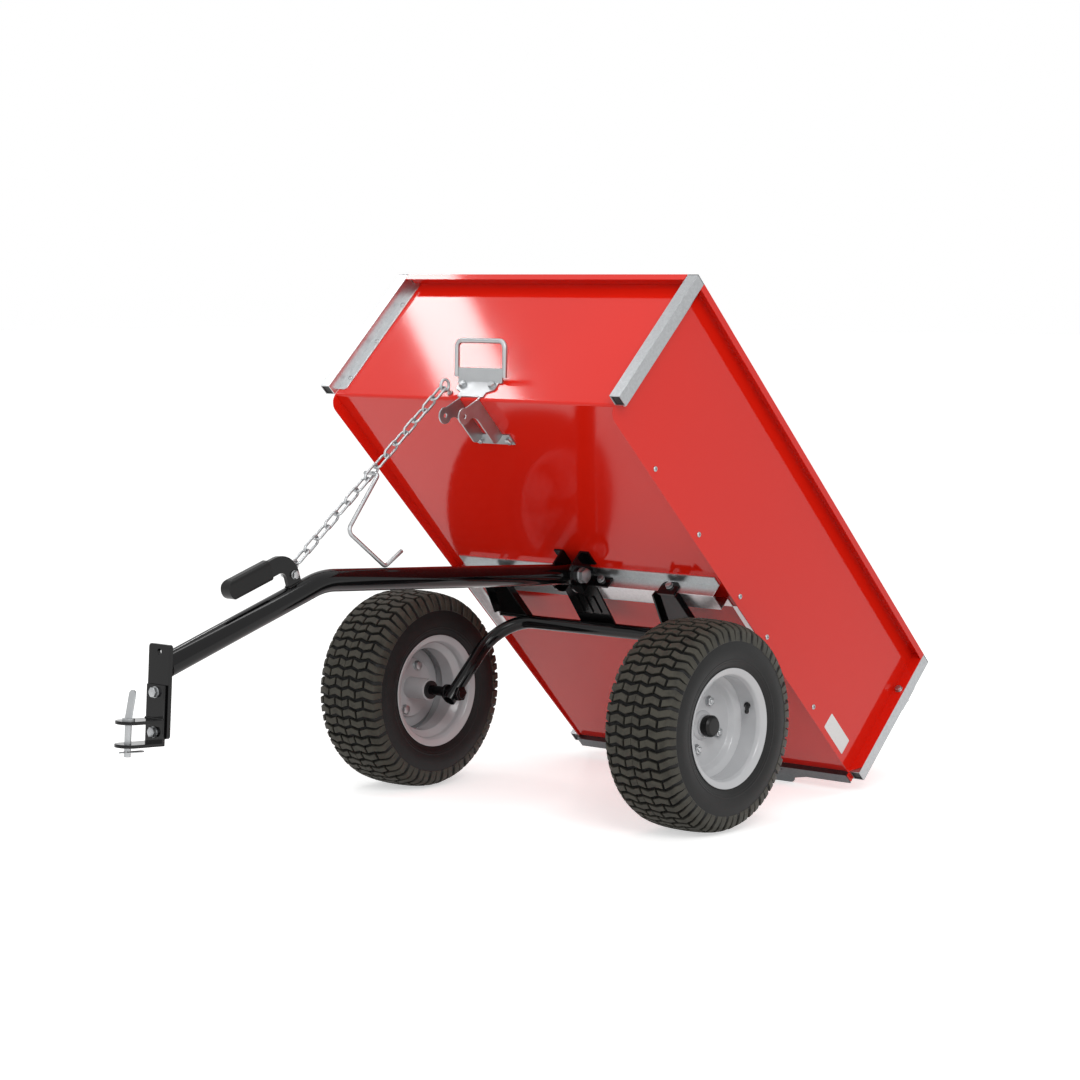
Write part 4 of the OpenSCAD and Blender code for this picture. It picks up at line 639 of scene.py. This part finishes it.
axle = {"size": 28, "wall": 2.5, "legY": 258, "top": 202, "low": -21, "bend": 90, "sides": 40, "chamfer": 0.6}
leg, top, low = axle["legY"], axle["top"], axle["low"]
mesh = rod([(0, -leg, low), (0, -leg, top), (0, leg, top), (0, leg, low)], tray, axle["size"], axle["bend"],
           axle["sides"], axle["wall"], chamfer=axle["chamfer"], finish=blackPowderCoat)
newPiece("axleTube", mesh, "tray", "black_paint", ["axle_tube"])

handle = {"rod": 10, "width": 134, "low": 8, "reach": 78, "slope": 45, "bend": 14, "foldX": 605,
          "foldZ": 308, "sheet": 3, "sides": 28}
flap = tray @ moved(handle["foldX"], 0, handle["foldZ"]) @ turned(handle["slope"], "Y")
flap = flap @ moved(-handle["sheet"] / 2, 0, 0)
half, low, top = handle["width"] / 2 - handle["rod"] / 2, handle["low"], handle["reach"]
mesh = rod([(0, -half, low), (0, -half, top), (0, half, top), (0, half, low)], flap, handle["rod"],
           handle["bend"], handle["sides"])
newPiece("liftHandle", mesh, "tray", "zinc", ["lift_handle"])

lockPin = {"rod": 8, "bend": 12, "stub": 52, "rise": 34, "footX": 534, "bendX": 102, "bendZ": 66,
           "lift": 23.1, "reach": 18.5, "sides": 24}
rise = math.radians(lockPin["rise"])
foot = Vector((lockPin["footX"], 0, lockPin["lift"]))
stub = Vector((-lockPin["stub"] * math.cos(rise), 0, lockPin["stub"] * math.sin(rise)))
knee = Vector((lockPin["bendX"], 0, lockPin["bendZ"]))
hang, hook = spotOf("lock_pin_swing"), Vector((0, lockPin["reach"], 0))
barToWorld = world.inverted() @ bar
lockPath = [barToWorld @ spot for spot in (foot + stub, foot, foot + knee)] + [hang + hook, hang - hook]
mesh = rod(lockPath, world, lockPin["rod"], lockPin["bend"], lockPin["sides"])
newPiece("lockPin", mesh, "lock", "zinc", ["lock_pin"])

clip = {"wire": 3, "back": 27.6, "front": 18.4, "hug": 7.8, "pinX": 1145.1, "z": -286.639, "bend": 0.01,
        "sides": 16, "chamfer": 0.4}
bow = clip["hug"] / 2
clipPath = [(-clip["back"] - bow * math.sin(a), bow - bow * math.cos(a), 0) for a in halfTurn]
clipPath = [(clip["front"], 0, 0)] + clipPath + [(clip["front"] / 2, clip["hug"], 0)]
mesh = rod(clipPath, bar @ moved(clip["pinX"], 0, clip["z"]), clip["wire"], clip["bend"], clip["sides"],
           chamfer=clip["chamfer"])
newPiece("pinClip", mesh, "clip", "zinc", ["pin_clip"])
print("tubes and rods done")

# tyre: half of its section as (across, radius), and the tread's blocks in millimetres along that section
tyre = {"radius": 203, "sectors": 31, "block": 37, "seam": 4.8, "cross": 7.4, "zig": 2.9, "depth": 6.6,
        "chamfer": 0.8, "draft": 0.7, "root": -1.5, "centre": 0.35, "lugEnd": 93, "lugFade": 66,
        "lugTip": 1.0, "lugCuts": (68, 76, 84), "edgeShade": 0.6, "steps": 124,
        "ribs": [(171.5, 0.5), (168, 1.1), (131, 0.9), (126.5, 0.9)],  # side wall: radius and height
        "ribWide": 1.7, "ribShare": 0.9,
        "bead": [(71.8, 112.6), (66.6, 104.6), (62, 102.2), (56, 102.2)],
        "half": [(0, 196.3), (20, 196), (40, 194.7), (55, 192.3), (65, 188.2), (72.5, 181.5), (77.6, 171),
                 (80.6, 158.5), (81.6, 147), (80.4, 135.5), (77.4, 125), (74.4, 118), (73.2, 113.4)]}


def profilePath(points, steps=8):
    # smooth curve through the points with the distance along it and the outward normal
    spots = []
    for i in range(len(points) - 1):
        p0, p1, p2 = Vector(points[max(i - 1, 0)]), Vector(points[i]), Vector(points[i + 1])
        p3 = Vector(points[min(i + 2, len(points) - 1)])
        if i == 0:
            p0 = Vector((-points[1][0], points[1][1]))
        for k in range(steps):
            t = k / steps
            spots.append(0.5 * (2 * p1 + (p2 - p0) * t + (2 * p0 - 5 * p1 + 4 * p2 - p3) * t * t
                                + (3 * p1 - p0 - 3 * p2 + p3) * t ** 3))
    spots.append(Vector(points[-1]))
    rows, run = [], 0
    for i, spot in enumerate(spots):
        run += (spot - spots[i - 1]).length if i else 0
        way = (spots[min(i + 1, len(spots) - 1)] - spots[max(i - 1, 0)]).normalized()
        rows.append((run, spot, Vector((-way.y, way.x)) if i else Vector((0, 1))))
    return rows


tyreRows = profilePath(tyre["half"])


def onProfile(u):
    side, u = (-1 if u < 0 else 1), abs(u)
    for (u0, p0, n0), (u1, p1, n1) in zip(tyreRows, tyreRows[1:]):
        if u <= u1:
            t = (u - u0) / (u1 - u0)
            spot, normal = p0.lerp(p1, t), n0.lerp(n1, t).normalized()
            return Vector((side * spot.x, spot.y)), Vector((side * normal.x, normal.y))
    return Vector((side * tyreRows[-1][1].x, tyreRows[-1][1].y)), Vector((side, 0))


def zigzag(u):
    phase = (abs(u) / tyre["block"]) % 1
    return tyre["zig"] * (4 * abs(phase - 0.5) - 1)


def treadBlock(build, u0, u1, s0, s1):
    # block between two lines round the tyre (u) and two zigzag lines across it (s)
    edge, draft, root, shade = tyre["chamfer"], tyre["draft"], tyre["root"], tyre["edgeShade"]
    cuts = [k * tyre["block"] / 2 for k in range(-6, 7)] + [s * u for s in (-1, 1) for u in tyre["lugCuts"]]
    across = [u0, u0 + edge] + sorted(u for u in cuts if u0 + edge < u < u1 - edge) + [u1 - edge, u1]
    # "top" weights the bloom and its painted sheen: 1 on the block tops, edgeShade on their upper edges, 0 at
    # the roots
    onTop = build.verts.layers.float["top"]
    rings = []
    for u in across:
        fade = max(0.0, min(1.0, (abs(u) - tyre["lugFade"]) / (tyre["lugEnd"] - tyre["lugFade"])))
        depth = tyre["depth"] + (tyre["lugTip"] - tyre["depth"]) * fade
        lip = 0 if u in (u0, u1) else edge
        shift = zigzag(u) * (1 - fade * 0.5)  # half as far at the ends of the lugs
        low, high, wall = s0 + shift, s1 + shift, depth - edge
        spot, normal = onProfile(u)
        ring = []
        for s, h, top in ((low - draft, root, 0), (low, wall, shade), (low + lip, wall + lip, 1),
                          (high - lip, wall + lip, 1), (high, wall, shade), (high + draft, root, 0)):
            y, r = spot + normal * h
            a = s / (spot.y + depth)
            ring.append(build.verts.new((r * math.cos(a), y, r * math.sin(a))))
            ring[-1][onTop] = top
        rings.append(ring)
    bridged(build, rings)
    for ring in (rings[0], rings[-1]):
        build.faces.new(ring)


def tyreMesh(place):
    row = math.pi * tyre["radius"] / tyre["sectors"]  # two rows of blocks in a sector
    block, seam, gap = tyre["block"], tyre["seam"] / 2, tyre["cross"] / 2
    spans = [(seam, block - seam, 0), (block + seam, tyre["lugEnd"], 0),
             (tyre["centre"], block / 2 - seam, row), (block / 2 + seam, block * 1.5 - seam, row),
             (block * 1.5 + seam, tyre["lugEnd"], row)]
    build = bmesh.new()
    build.verts.layers.float.new("top")
    for side in (-1, 1):
        for inner, outer, start in spans:
            u0, u1 = sorted((side * inner, side * outer))
            treadBlock(build, u0, u1, start + gap, start + row - gap)
    blocks = grown(meshOf(closed(build), world), treadTree, Sectors=tyre["sectors"], Finish=tyreRubber)
    half = []
    for run, spot, normal in tyreRows[1:]:
        rib = max(h * max(0, 1 - abs(spot.y - at) / tyre["ribWide"]) for at, h in tyre["ribs"])
        half.append((spot.x + rib * tyre["ribShare"], spot.y))
    half += tyre["bead"]
    carcass = lathe([(-y, r) for y, r in half[::-1]] + [tuple(tyreRows[0][1])] + half, tyre["steps"])
    carcass.verts.layers.float.new("top")
    carcass.transform(world)
    carcass.from_mesh(blocks)
    return smoothed(meshOf(carcass, place @ world.inverted()), 38)


# turned parts of a wheel: outlines as (along the axle, radius, corner radius)
rim = {"barrel": [(76.2, 114.4, 0.8), (75.2, 115.4, 0.8), (72.6, 114.2, 1.2), (68.4, 105, 5),
                  (62, 101.6, 6), (0, 101.4, 3), (-10, 88, 4), (-42, 88, 4), (-52, 101.4, 3),
                  (-62, 101.6, 6), (-68.4, 105, 5), (-72.6, 114.2, 1.2), (-75.2, 115.4, 0.8),
                  (-76.2, 114.4, 0.8), (-70.6, 102, 7), (-62, 98.5, 6), (-53, 98.4, 3), (-43, 85, 4),
                  (-9, 85, 4), (1, 98.4, 3), (62, 98.5, 6), (70.6, 102, 7)],
       "disc": [(6, 22, 0), (9, 22, 0), (9, 80, 3), (20, 86, 8), (27, 97.6, 3), (27, 99.8, 0.8),
                (20, 99.8, 2), (14, 90, 8), (6, 84, 3)],
       "steps": 128}
# weld of hub and disc, enamelled
hubSeam = [(8.6, 21.5, 0), (8.6, 29, 0.4), (10.4, 28.4, 1), (13.6, 24, 1.5), (14.4, 21.5, 0)]
hubCap = [(22, 0.01, 0), (22, 21, 0.6), (33, 21, 3.2), (38, 16, 3), (38, 0.01, 0)]
valve = {"angle": {"left": -161, "right": -19}, "r": 98.5, "y": 45, "tilt": 34,
         "stem": [(-3, 0.01, 0), (-3, 4.4, 0), (0.6, 4.4, 0), (0.6, 6.7, 0.4), (4, 6.5, 1.2), (6.5, 4.7, 1.5),
                  (20, 4.2, 0.4), (20.6, 3.6, 0.2), (21.6, 3.6, 0.2), (22, 4.3, 0.4), (33, 4.2, 0.9),
                  (34, 2.6, 0.4), (34, 0.01, 0)]}


def turnedMesh(outline, place, steps, angle=40):
    return smoothed(meshOf(lathe(rounded(outline), steps), place), angle)


for side, place in wheels.items():
    body = "wheel_" + side
    newPiece("tyre_%s.tread" % side, tyreMesh(place), body, "tyre_rubber", ["tyre_" + side])
    build = lathe(rounded(rim["barrel"]), rim["steps"])
    build.from_mesh(meshOf(lathe(rounded(rim["disc"]), rim["steps"])))
    mesh = smoothed(meshOf(build, place), 40)
    newPiece("rim_%s.pressed" % side, mesh, body, "rim_paint", ["rim_" + side])
    newPiece("hubSeam_" + side, turnedMesh(hubSeam, place, 96, 50), body, "rim_paint")
    newPiece("hubCap_" + side, turnedMesh(hubCap, place, 64), body, "soft_rubber", ["hub_cap_" + side])
    seat = place @ turned(valve["angle"][side], "Y") @ moved(valve["r"], valve["y"], 0)
    mesh = turnedMesh(valve["stem"], seat @ turned(90 - valve["tilt"], "Z"), 24)
    newPiece("valve_%s.stem" % side, mesh, body, "soft_rubber", ["valve_" + side])
print("wheels done")


# fasteners

def ringed(build, rows, steps):
    # stack of rings (height, radius), each a number or a function of the angle, closed at both ends
    def at(value, a):
        return value(a) if callable(value) else value
    rings = []
    for z, reach in rows:
        rings.append([build.verts.new((at(reach, a) * math.cos(a), at(reach, a) * math.sin(a), at(z, a)))
                      for a in angles(steps)])
    bridged(build, rings)
    build.faces.new(rings[0][::-1])
    build.faces.new(rings[-1])


def hexReach(flats):
    # distance from the middle of a hexagon to its side at an angle
    return lambda a: flats / 2 / math.cos((a + math.pi / 6) % (math.pi / 3) - math.pi / 6)


# shares of the thread's diameter, the crown's and the face's of the width over flats
hexSizes = {"washer": 0.16, "washerWide": 2, "head": 0.81, "flats": 1.65, "threadFrom": 0.8,
            "threadTo": 1.11, "crown": 0.475, "crownSlope": 0.58, "face": 0.46}
thread = {"pitch": 1.25, "deep": 0.6, "start": 0.5, "room": 0.6, "shoulder": (0.5, 0.2), "point": 1}
washerEdge = {"drop": 0.25, "inset": 0.3}  # millimetres, as for the thread


def hexPart(build, bottom, top, flats):
    # hexagon with the usual chamfer turned on its outer face
    reach = hexReach(flats)

    def crown(a):
        return top - (reach(a) - flats * hexSizes["crown"]) * hexSizes["crownSlope"]
    ringed(build, [(bottom, reach), (crown, reach), (top, flats * hexSizes["face"])], 36)


def threadEnd(build, bottom, top, diameter):
    r, pitch, (drop, inset) = diameter / 2, thread["pitch"], thread["shoulder"]
    rows, z = [(bottom, r - thread["start"])], bottom
    while z + pitch < top - thread["room"]:
        rows += [(z + pitch * 0.5, r), (z + pitch, r - thread["deep"])]
        z += pitch
    ringed(build, rows + [(top - drop, r - inset), (top, r - thread["point"])], 20)


def hexHead(build, d):
    # washer with a hexagon on it
    thick, r = d * hexSizes["washer"], d * hexSizes["washerWide"] / 2
    ringed(build, [(0, r), (thick - washerEdge["drop"], r), (thick, r - washerEdge["inset"])], 36)
    hexPart(build, thick, d * hexSizes["head"], d * hexSizes["flats"])


def boltMesh(d, grip, nut=True):
    # origin on the face under the head, head towards +z, nut beyond the grip
    build = bmesh.new()
    hexHead(build, d)
    ringed(build, [(-grip, d / 2), (0, d / 2)], 20)
    if nut:
        lower = bmesh.new()
        hexHead(lower, d)
        threadEnd(lower, d * hexSizes["threadFrom"], d * hexSizes["threadTo"], d)
        build.from_mesh(meshOf(lower, moved(0, 0, -grip) @ turned(180, "X")))
    return meshOf(outward(build), world)


def headMesh(head, steps):
    # small head from rows of (height, radius): shares of its height and its diameter, or functions
    build = bmesh.new()
    rows = [(z * head["height"], r if callable(r) else r * head["size"]) for z, r in head["rows"]]
    ringed(build, [(head["root"], rows[0][1])] + rows, steps)
    return meshOf(outward(build), world)


# plugs inside the lower ends of the posts, dished, with the tube's cut edge in view round them
plug = {"side": 20.6, "deep": 9, "set": 0.8, "lip": 2.2, "dish": 1.4, "draft": 0.6, "edge": 0.5}
corner = plug["side"] / math.sqrt(2)
inner = corner - plug["lip"]
plugRows = [(plug["deep"], corner), (0, corner), (0, inner), (plug["dish"], inner - plug["draft"])]
postY = box["side"] + box["post"]
build = bmesh.new()
for x in (box["rear"] - box["post"], box["front"] + box["post"]):
    for y in (-postY, postY):
        one = bmesh.new()
        ringed(one, plugRows, 4)
        seat = tray @ moved(x, y, box["floor"] + plug["set"]) @ turned(45, "Z")
        build.from_mesh(meshOf(outward(one), seat))
mesh = baked(meshOf(build), "BEVEL", limit_method="ANGLE", width=plug["edge"] * mm, segments=2)
newPiece("post_plugs.dished", smoothed(mesh), "tray", "black_plastic", ["post_plugs"])

# through bolts: body, thread, grip, places
bolts = {
    "bracket_bolts": ("tray", 8, 6, [(tray, (106, y, 245), ahead) for y in (-226, -50.8, 50.8, 226)]),
    "pivot_bolt": ("tray", 16, 53.2, [(tray, (135, 26.6, 229), toLeft)]),
    "hitch_bolts": ("drawbar", 10, 14, [(bar, (1087.1, 0, z), ahead) for z in (-186.139, -255.139)]),
    "gate_latch_bolts": ("tray", 8, 30.7, [(tray, (-471.5, y, 481.42), ahead) for y in (-postY, postY)]),
}
wheelBolts = {"circle": 48, "first": {"left": 22.5, "right": 67.5}, "size": 10, "grip": 9}
for side, place in wheels.items():
    r = wheelBolts["circle"]
    ring = [a + math.radians(wheelBolts["first"][side]) for a in angles(4)]
    bolts["wheel_bolts_" + side] = ("wheel_" + side, wheelBolts["size"], wheelBolts["grip"],
                                    [(place, (r * math.cos(a), 0, r * math.sin(a)), toRight) for a in ring])
for node, (body, size, grip, spots) in bolts.items():
    newPiece(node + ".hex", studded(spots, boltMesh(size, grip)), body, "zinc", [node])

latchBolt = {"size": 8, "grip": 3, "y": (-38, 38), "rows": [((605, 298), ahead), ((494, 259), down)]}
latchSpots = [(tray, (x, y, z), way) for (x, z), way in latchBolt["rows"] for y in latchBolt["y"]]
mesh = studded(latchSpots, boltMesh(latchBolt["size"], latchBolt["grip"], nut=False))
newPiece("latch_bolts.hex", mesh, "tray", "zinc", ["latch_bolts"])

# pan heads with a hexagon socket, at shares of the tray's length
screw = {"size": 10.5, "height": 2.2, "root": -1, "z": 254.2, "socket": 0.42,
         "shares": (0.18, 0.385, 0.5, 0.67, 0.843)}
socket = hexReach(screw["size"] * screw["socket"])
screw["rows"] = [(0.35, 0.5), (0.75, 0.44), (1, 0.33), (1, socket), (0.2, socket)]
screwX = [box["rear"] + (box["front"] - box["rear"]) * share for share in screw["shares"]]
screwSpots = [(tray, (x, side * box["side"], screw["z"] + skirtLift(x)), (0, side, 0))
              for side in (-1, 1) for x in screwX]
newPiece("skirt_screws.pan", studded(screwSpots, headMesh(screw, 36)), "tray", "zinc", ["skirt_screws"])

# dome heads with the pulled mandrel's dimple, on the front fins and on the side fins
rivet = {"size": 10, "height": 3, "root": -0.6, "z": (307, 411, 515), "front": (604, 352),
         "side": (591, 367), "rows": [(0.25, 0.5), (0.7, 0.42), (1, 0.24), (1, 0.16), (0.5, 0.14)]}
rivetSpots = []
for side in (-1, 1):
    for z in rivet["z"]:
        for (x, y), way in ((rivet["front"], ahead), (rivet["side"], (0, side, 0))):
            rivetSpots.append((tray, (x, side * y, z), way))
newPiece("post_rivets.dome", studded(rivetSpots, headMesh(rivet, 24)), "tray", "zinc", ["post_rivets"])

# bolt through the grip's foot, with a long tail for the chain's last link
chainBolt = {"x": 66.4, "z": 38.2, "size": 8, "grip": 10, "tail": 19.48, "nut": 5.2, "linkY": -15.48}
half, r, tailEnd = chainBolt["grip"] / 2, chainBolt["size"] / 2, chainBolt["tail"]
build = bmesh.new()
build.from_mesh(boltMesh(chainBolt["size"], chainBolt["grip"]))
build.transform(moved(0, 0, half * mm))
tail = bmesh.new()
ringed(tail, [(half, r), (tailEnd, r)], 20)
hexPart(tail, tailEnd, tailEnd + chainBolt["nut"], chainBolt["size"] * hexSizes["flats"])
build.from_mesh(meshOf(tail, world @ turned(180, "X")))
mesh = studded([(arm, (chainBolt["x"], 0, chainBolt["z"]), toLeft)], meshOf(outward(build)))
newPiece("chain_bolt.hex", mesh, "drawbar", "zinc", ["chain_bolt"])
print("fasteners done")

# chain from the eye on the tray to the bolt on the drawbar
eye = {"at": (625, -58, 276), "wire": 6, "inner": 8, "lap": 1, "nut": 3.9, "flats": 9.9, "steps": 32}
chain = {"links": 16, "wire": 5, "width": 21, "play": 0.5, "sides": 12}
chainStart = tray @ Vector(eye["at"])
chainEnd = arm @ Vector((chainBolt["x"], chainBolt["linkY"], chainBolt["z"]))
way = (chainEnd - chainStart).normalized()
taut = (chainEnd - chainStart).length / mm - eye["inner"] + chainBolt["size"] / 2
pitch = taut / chain["links"]
arc = chain["width"] / 2 - chain["wire"] / 2
straight = (pitch + chain["play"]) / 2 + chain["wire"] / 2 - arc
loop = [(arc * math.cos(a), 0, straight + arc * math.sin(a)) for a in halfTurn]
loop += [(-x, 0, -z) for x, y, z in loop]
linkMesh = rod(loop, world, chain["wire"], noBend, chain["sides"], closedPath=True)
lean = turned(math.degrees(math.atan2(way.y, way.x)), "Z") @ turned(math.degrees(math.acos(way.z)), "Y")
chainMesh = grown(linkMesh, chainTree, Links=chain["links"], Step=way * pitch * mm,
                  First=chainStart + way * (eye["inner"] + pitch / 2) * mm,
                  Even=(lean @ turned(90, "Z")).to_euler(), Odd=lean.to_euler(), Finish=brightZinc)
chainPiece = placed("chainLinks", smoothed(chainMesh, 60))
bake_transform(chainPiece, "tray", "drawbar", start=tuple(chainStart), end=tuple(chainEnd))
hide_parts("chain")

x, y, z = eye["at"]
r = eye["inner"] + eye["wire"] / 2
eyeRing = [(x + r * math.cos(a), y, z + r * math.sin(a)) for a in angles(eye["steps"])]
shank = [(box["front"], y, z), (x - r + eye["lap"], y, z)]
nut = bmesh.new()
hexPart(nut, 0, eye["nut"], eye["flats"])
build = bmesh.new()
build.from_mesh(rod(eyeRing, tray, eye["wire"], noBend, 16, closedPath=True))
build.from_mesh(rod(shank, tray, eye["wire"], noBend, 20))
build.from_mesh(meshOf(nut, tray @ moved(*shank[0]) @ turned(90, "Y")))
newPiece("chain_eye.ring", smoothed(meshOf(build), 40), "tray", "zinc", ["chain_eye"])
print("chain done")

# welds, painted over: round the drawbar's end, along the grip's foot, on the jaw and on the axle tube
weld = {"pitch": 2.6, "size": 2.4, "steps": 48,
        "end": {"x": 1072.6, "z": -145.139, "wide": 21.4, "high": 22.9},
        "grip": {"x": (54, 85), "y": (5.2, -5.2), "z": 20.6},
        "jaw": {"x": 1087.4, "y": (-22, 22), "z": -231.9},
        "axle": {"x": -4.1, "y": (180, 272), "z": 215.8}}
end, grip, jaw, seam = weld["end"], weld["grip"], weld["jaw"], weld["axle"]
barRing = [(end["x"], end["wide"] * math.cos(a), end["z"] + end["high"] * math.sin(a))
           for a in angles(weld["steps"])]
gripFeet = [([(x, y, grip["z"]) for x in grip["x"]], arm, False) for y in grip["y"]]
jawSeam = [(jaw["x"], y, jaw["z"]) for y in jaw["y"]]
axleSeams = [([(seam["x"], side * y, seam["z"]) for y in seam["y"]], tray, False) for side in (-1, 1)]
weldPaths = {"drawbar": [(barRing, bar, True)] + gripFeet + [(jawSeam, bar, False)], "tray": axleSeams}
for body, paths in weldPaths.items():
    build = bmesh.new()
    for points, place, ring in paths:
        build.from_mesh(grown(wire(points, place, ring), weldTree, Pitch=weld["pitch"] * mm,
                              Size=weld["size"] * mm, Finish=blackPowderCoat))
    newPiece("welds_" + body, smoothed(meshOf(build), 60), body, "black_paint")
print("welds done")

# blank label on the left wall
label = {"x": (-426, -338), "z": (269, 305), "corner": 3, "thick": 0.3, "off": 0.05}
(x0, x1), (z0, z1), c = label["x"], label["z"], label["corner"]
outline = rounded([(x0, z0, c), (x1, z0, c), (x1, z1, c), (x0, z1, c)], 6)
build = bmesh.new()
build.faces.new([build.verts.new((x, box["side"] + label["off"], z)) for x, z in outline])
mesh = baked(meshOf(outward(build), tray), "SOLIDIFY", thickness=label["thick"] * mm, offset=0)
newPiece("label_blank", mesh, "tray", "red_paint", finish=labelFilm)

# camera, floor and light
view = {"at": (4.1277, 3.7853, 1.0555), "yaw": 221.51, "pitch": -5.21, "lens": 96.86, "sensor": 36,
        "far": 100}
camera = placed("camera", bpy.data.cameras.new("camera"))
camera.data.lens, camera.data.sensor_width = view["lens"], view["sensor"]
camera.data.sensor_fit = "HORIZONTAL"
camera.data.clip_end = view["far"]
camera.location = view["at"]
camera.rotation_euler = (math.radians(90 + view["pitch"]), 0, math.radians(view["yaw"] - 90))
bpy.context.scene.camera = camera


def inView(tree):
    # 1 where the camera sees a surface directly, mirrored or through glass
    rays = addNode(tree, "ShaderNodeLightPath").outputs
    seen = addNode(tree, "ShaderNodeMath", {"operation": "MAXIMUM"},
                   {0: rays["Is Camera Ray"], 1: rays["Is Glossy Ray"]})
    shown = addNode(tree, "ShaderNodeMath", {"operation": "MAXIMUM"},
                    {0: seen.outputs[0], 1: rays["Is Transmission Ray"]})
    return shown.outputs[0]


# smooth painted studio floor: white to the camera, still darkened by the object's shadow
studio = {"floor": "f2f2f1", "lift": 0.54, "size": 40, "sky": 0.55}
white = (1, 1, 1, 1)
floorPaint, tree, shader, place = newMaterial("studioFloor", Roughness=0.9)
shader.inputs["Base Color"].default_value = hexColour(studio["floor"])
shader.inputs["Emission Color"].default_value = white
lift = addNode(tree, "ShaderNodeMath", {"operation": "MULTIPLY"}, {0: inView(tree), 1: studio["lift"]})
tree.links.new(lift.outputs[0], shader.inputs["Emission Strength"])
build = bmesh.new()
bmesh.ops.create_grid(build, x_segments=4, y_segments=4, size=studio["size"])
floor = placed("floor", meshOf(build))
floor.data.materials.append(floorPaint)

# even white sky, dimmer as a light than in view
sky = bpy.data.worlds.new("studioSky")
sky.use_nodes = True
bpy.context.scene.world = sky
tree = sky.node_tree
tree.nodes.clear()
level = addNode(tree, "ShaderNodeMapRange", inputs={0: inView(tree), 3: studio["sky"], 4: 1.0})
back = addNode(tree, "ShaderNodeBackground", inputs={"Color": white, "Strength": level.outputs[0]})
addNode(tree, "ShaderNodeOutputWorld", inputs={"Surface": back.outputs[0]})

# soft boxes: place, aim, size, power, roll
softBoxes = {
    "sideBox": ((-0.01, -2.1, 3.05), (-0.01, -2.1, 0), (0.9, 0.24), 9, 35),
    "topBox": ((0.3, 0.2, 3.8), (0.1, 0, 0.4), (2.6, 0.5), 22, 0),
    "keyBox": ((2.4, 3.6, 3.2), (0, 0, 0.5), (2.2, 2.2), 100, 0),
    "frontBox": ((4.5, -0.6, 2.4), (0, 0, 0.5), (1.6, 1.6), 25, 0),
}
for name, (at, aim, size, power, roll) in softBoxes.items():
    lamp = bpy.data.lights.new(name, "AREA")
    lamp.shape, lamp.size, lamp.size_y, lamp.energy = "RECTANGLE", size[0], size[1], power
    holder = placed(name, lamp)
    holder.location = at
    facing = (Vector(aim) - Vector(at)).to_track_quat("-Z", "Y").to_matrix().to_4x4()
    holder.rotation_euler = (facing @ turned(roll, "Z")).to_euler()
bpy.context.scene.view_settings.view_transform = "Standard"

print("scene done")
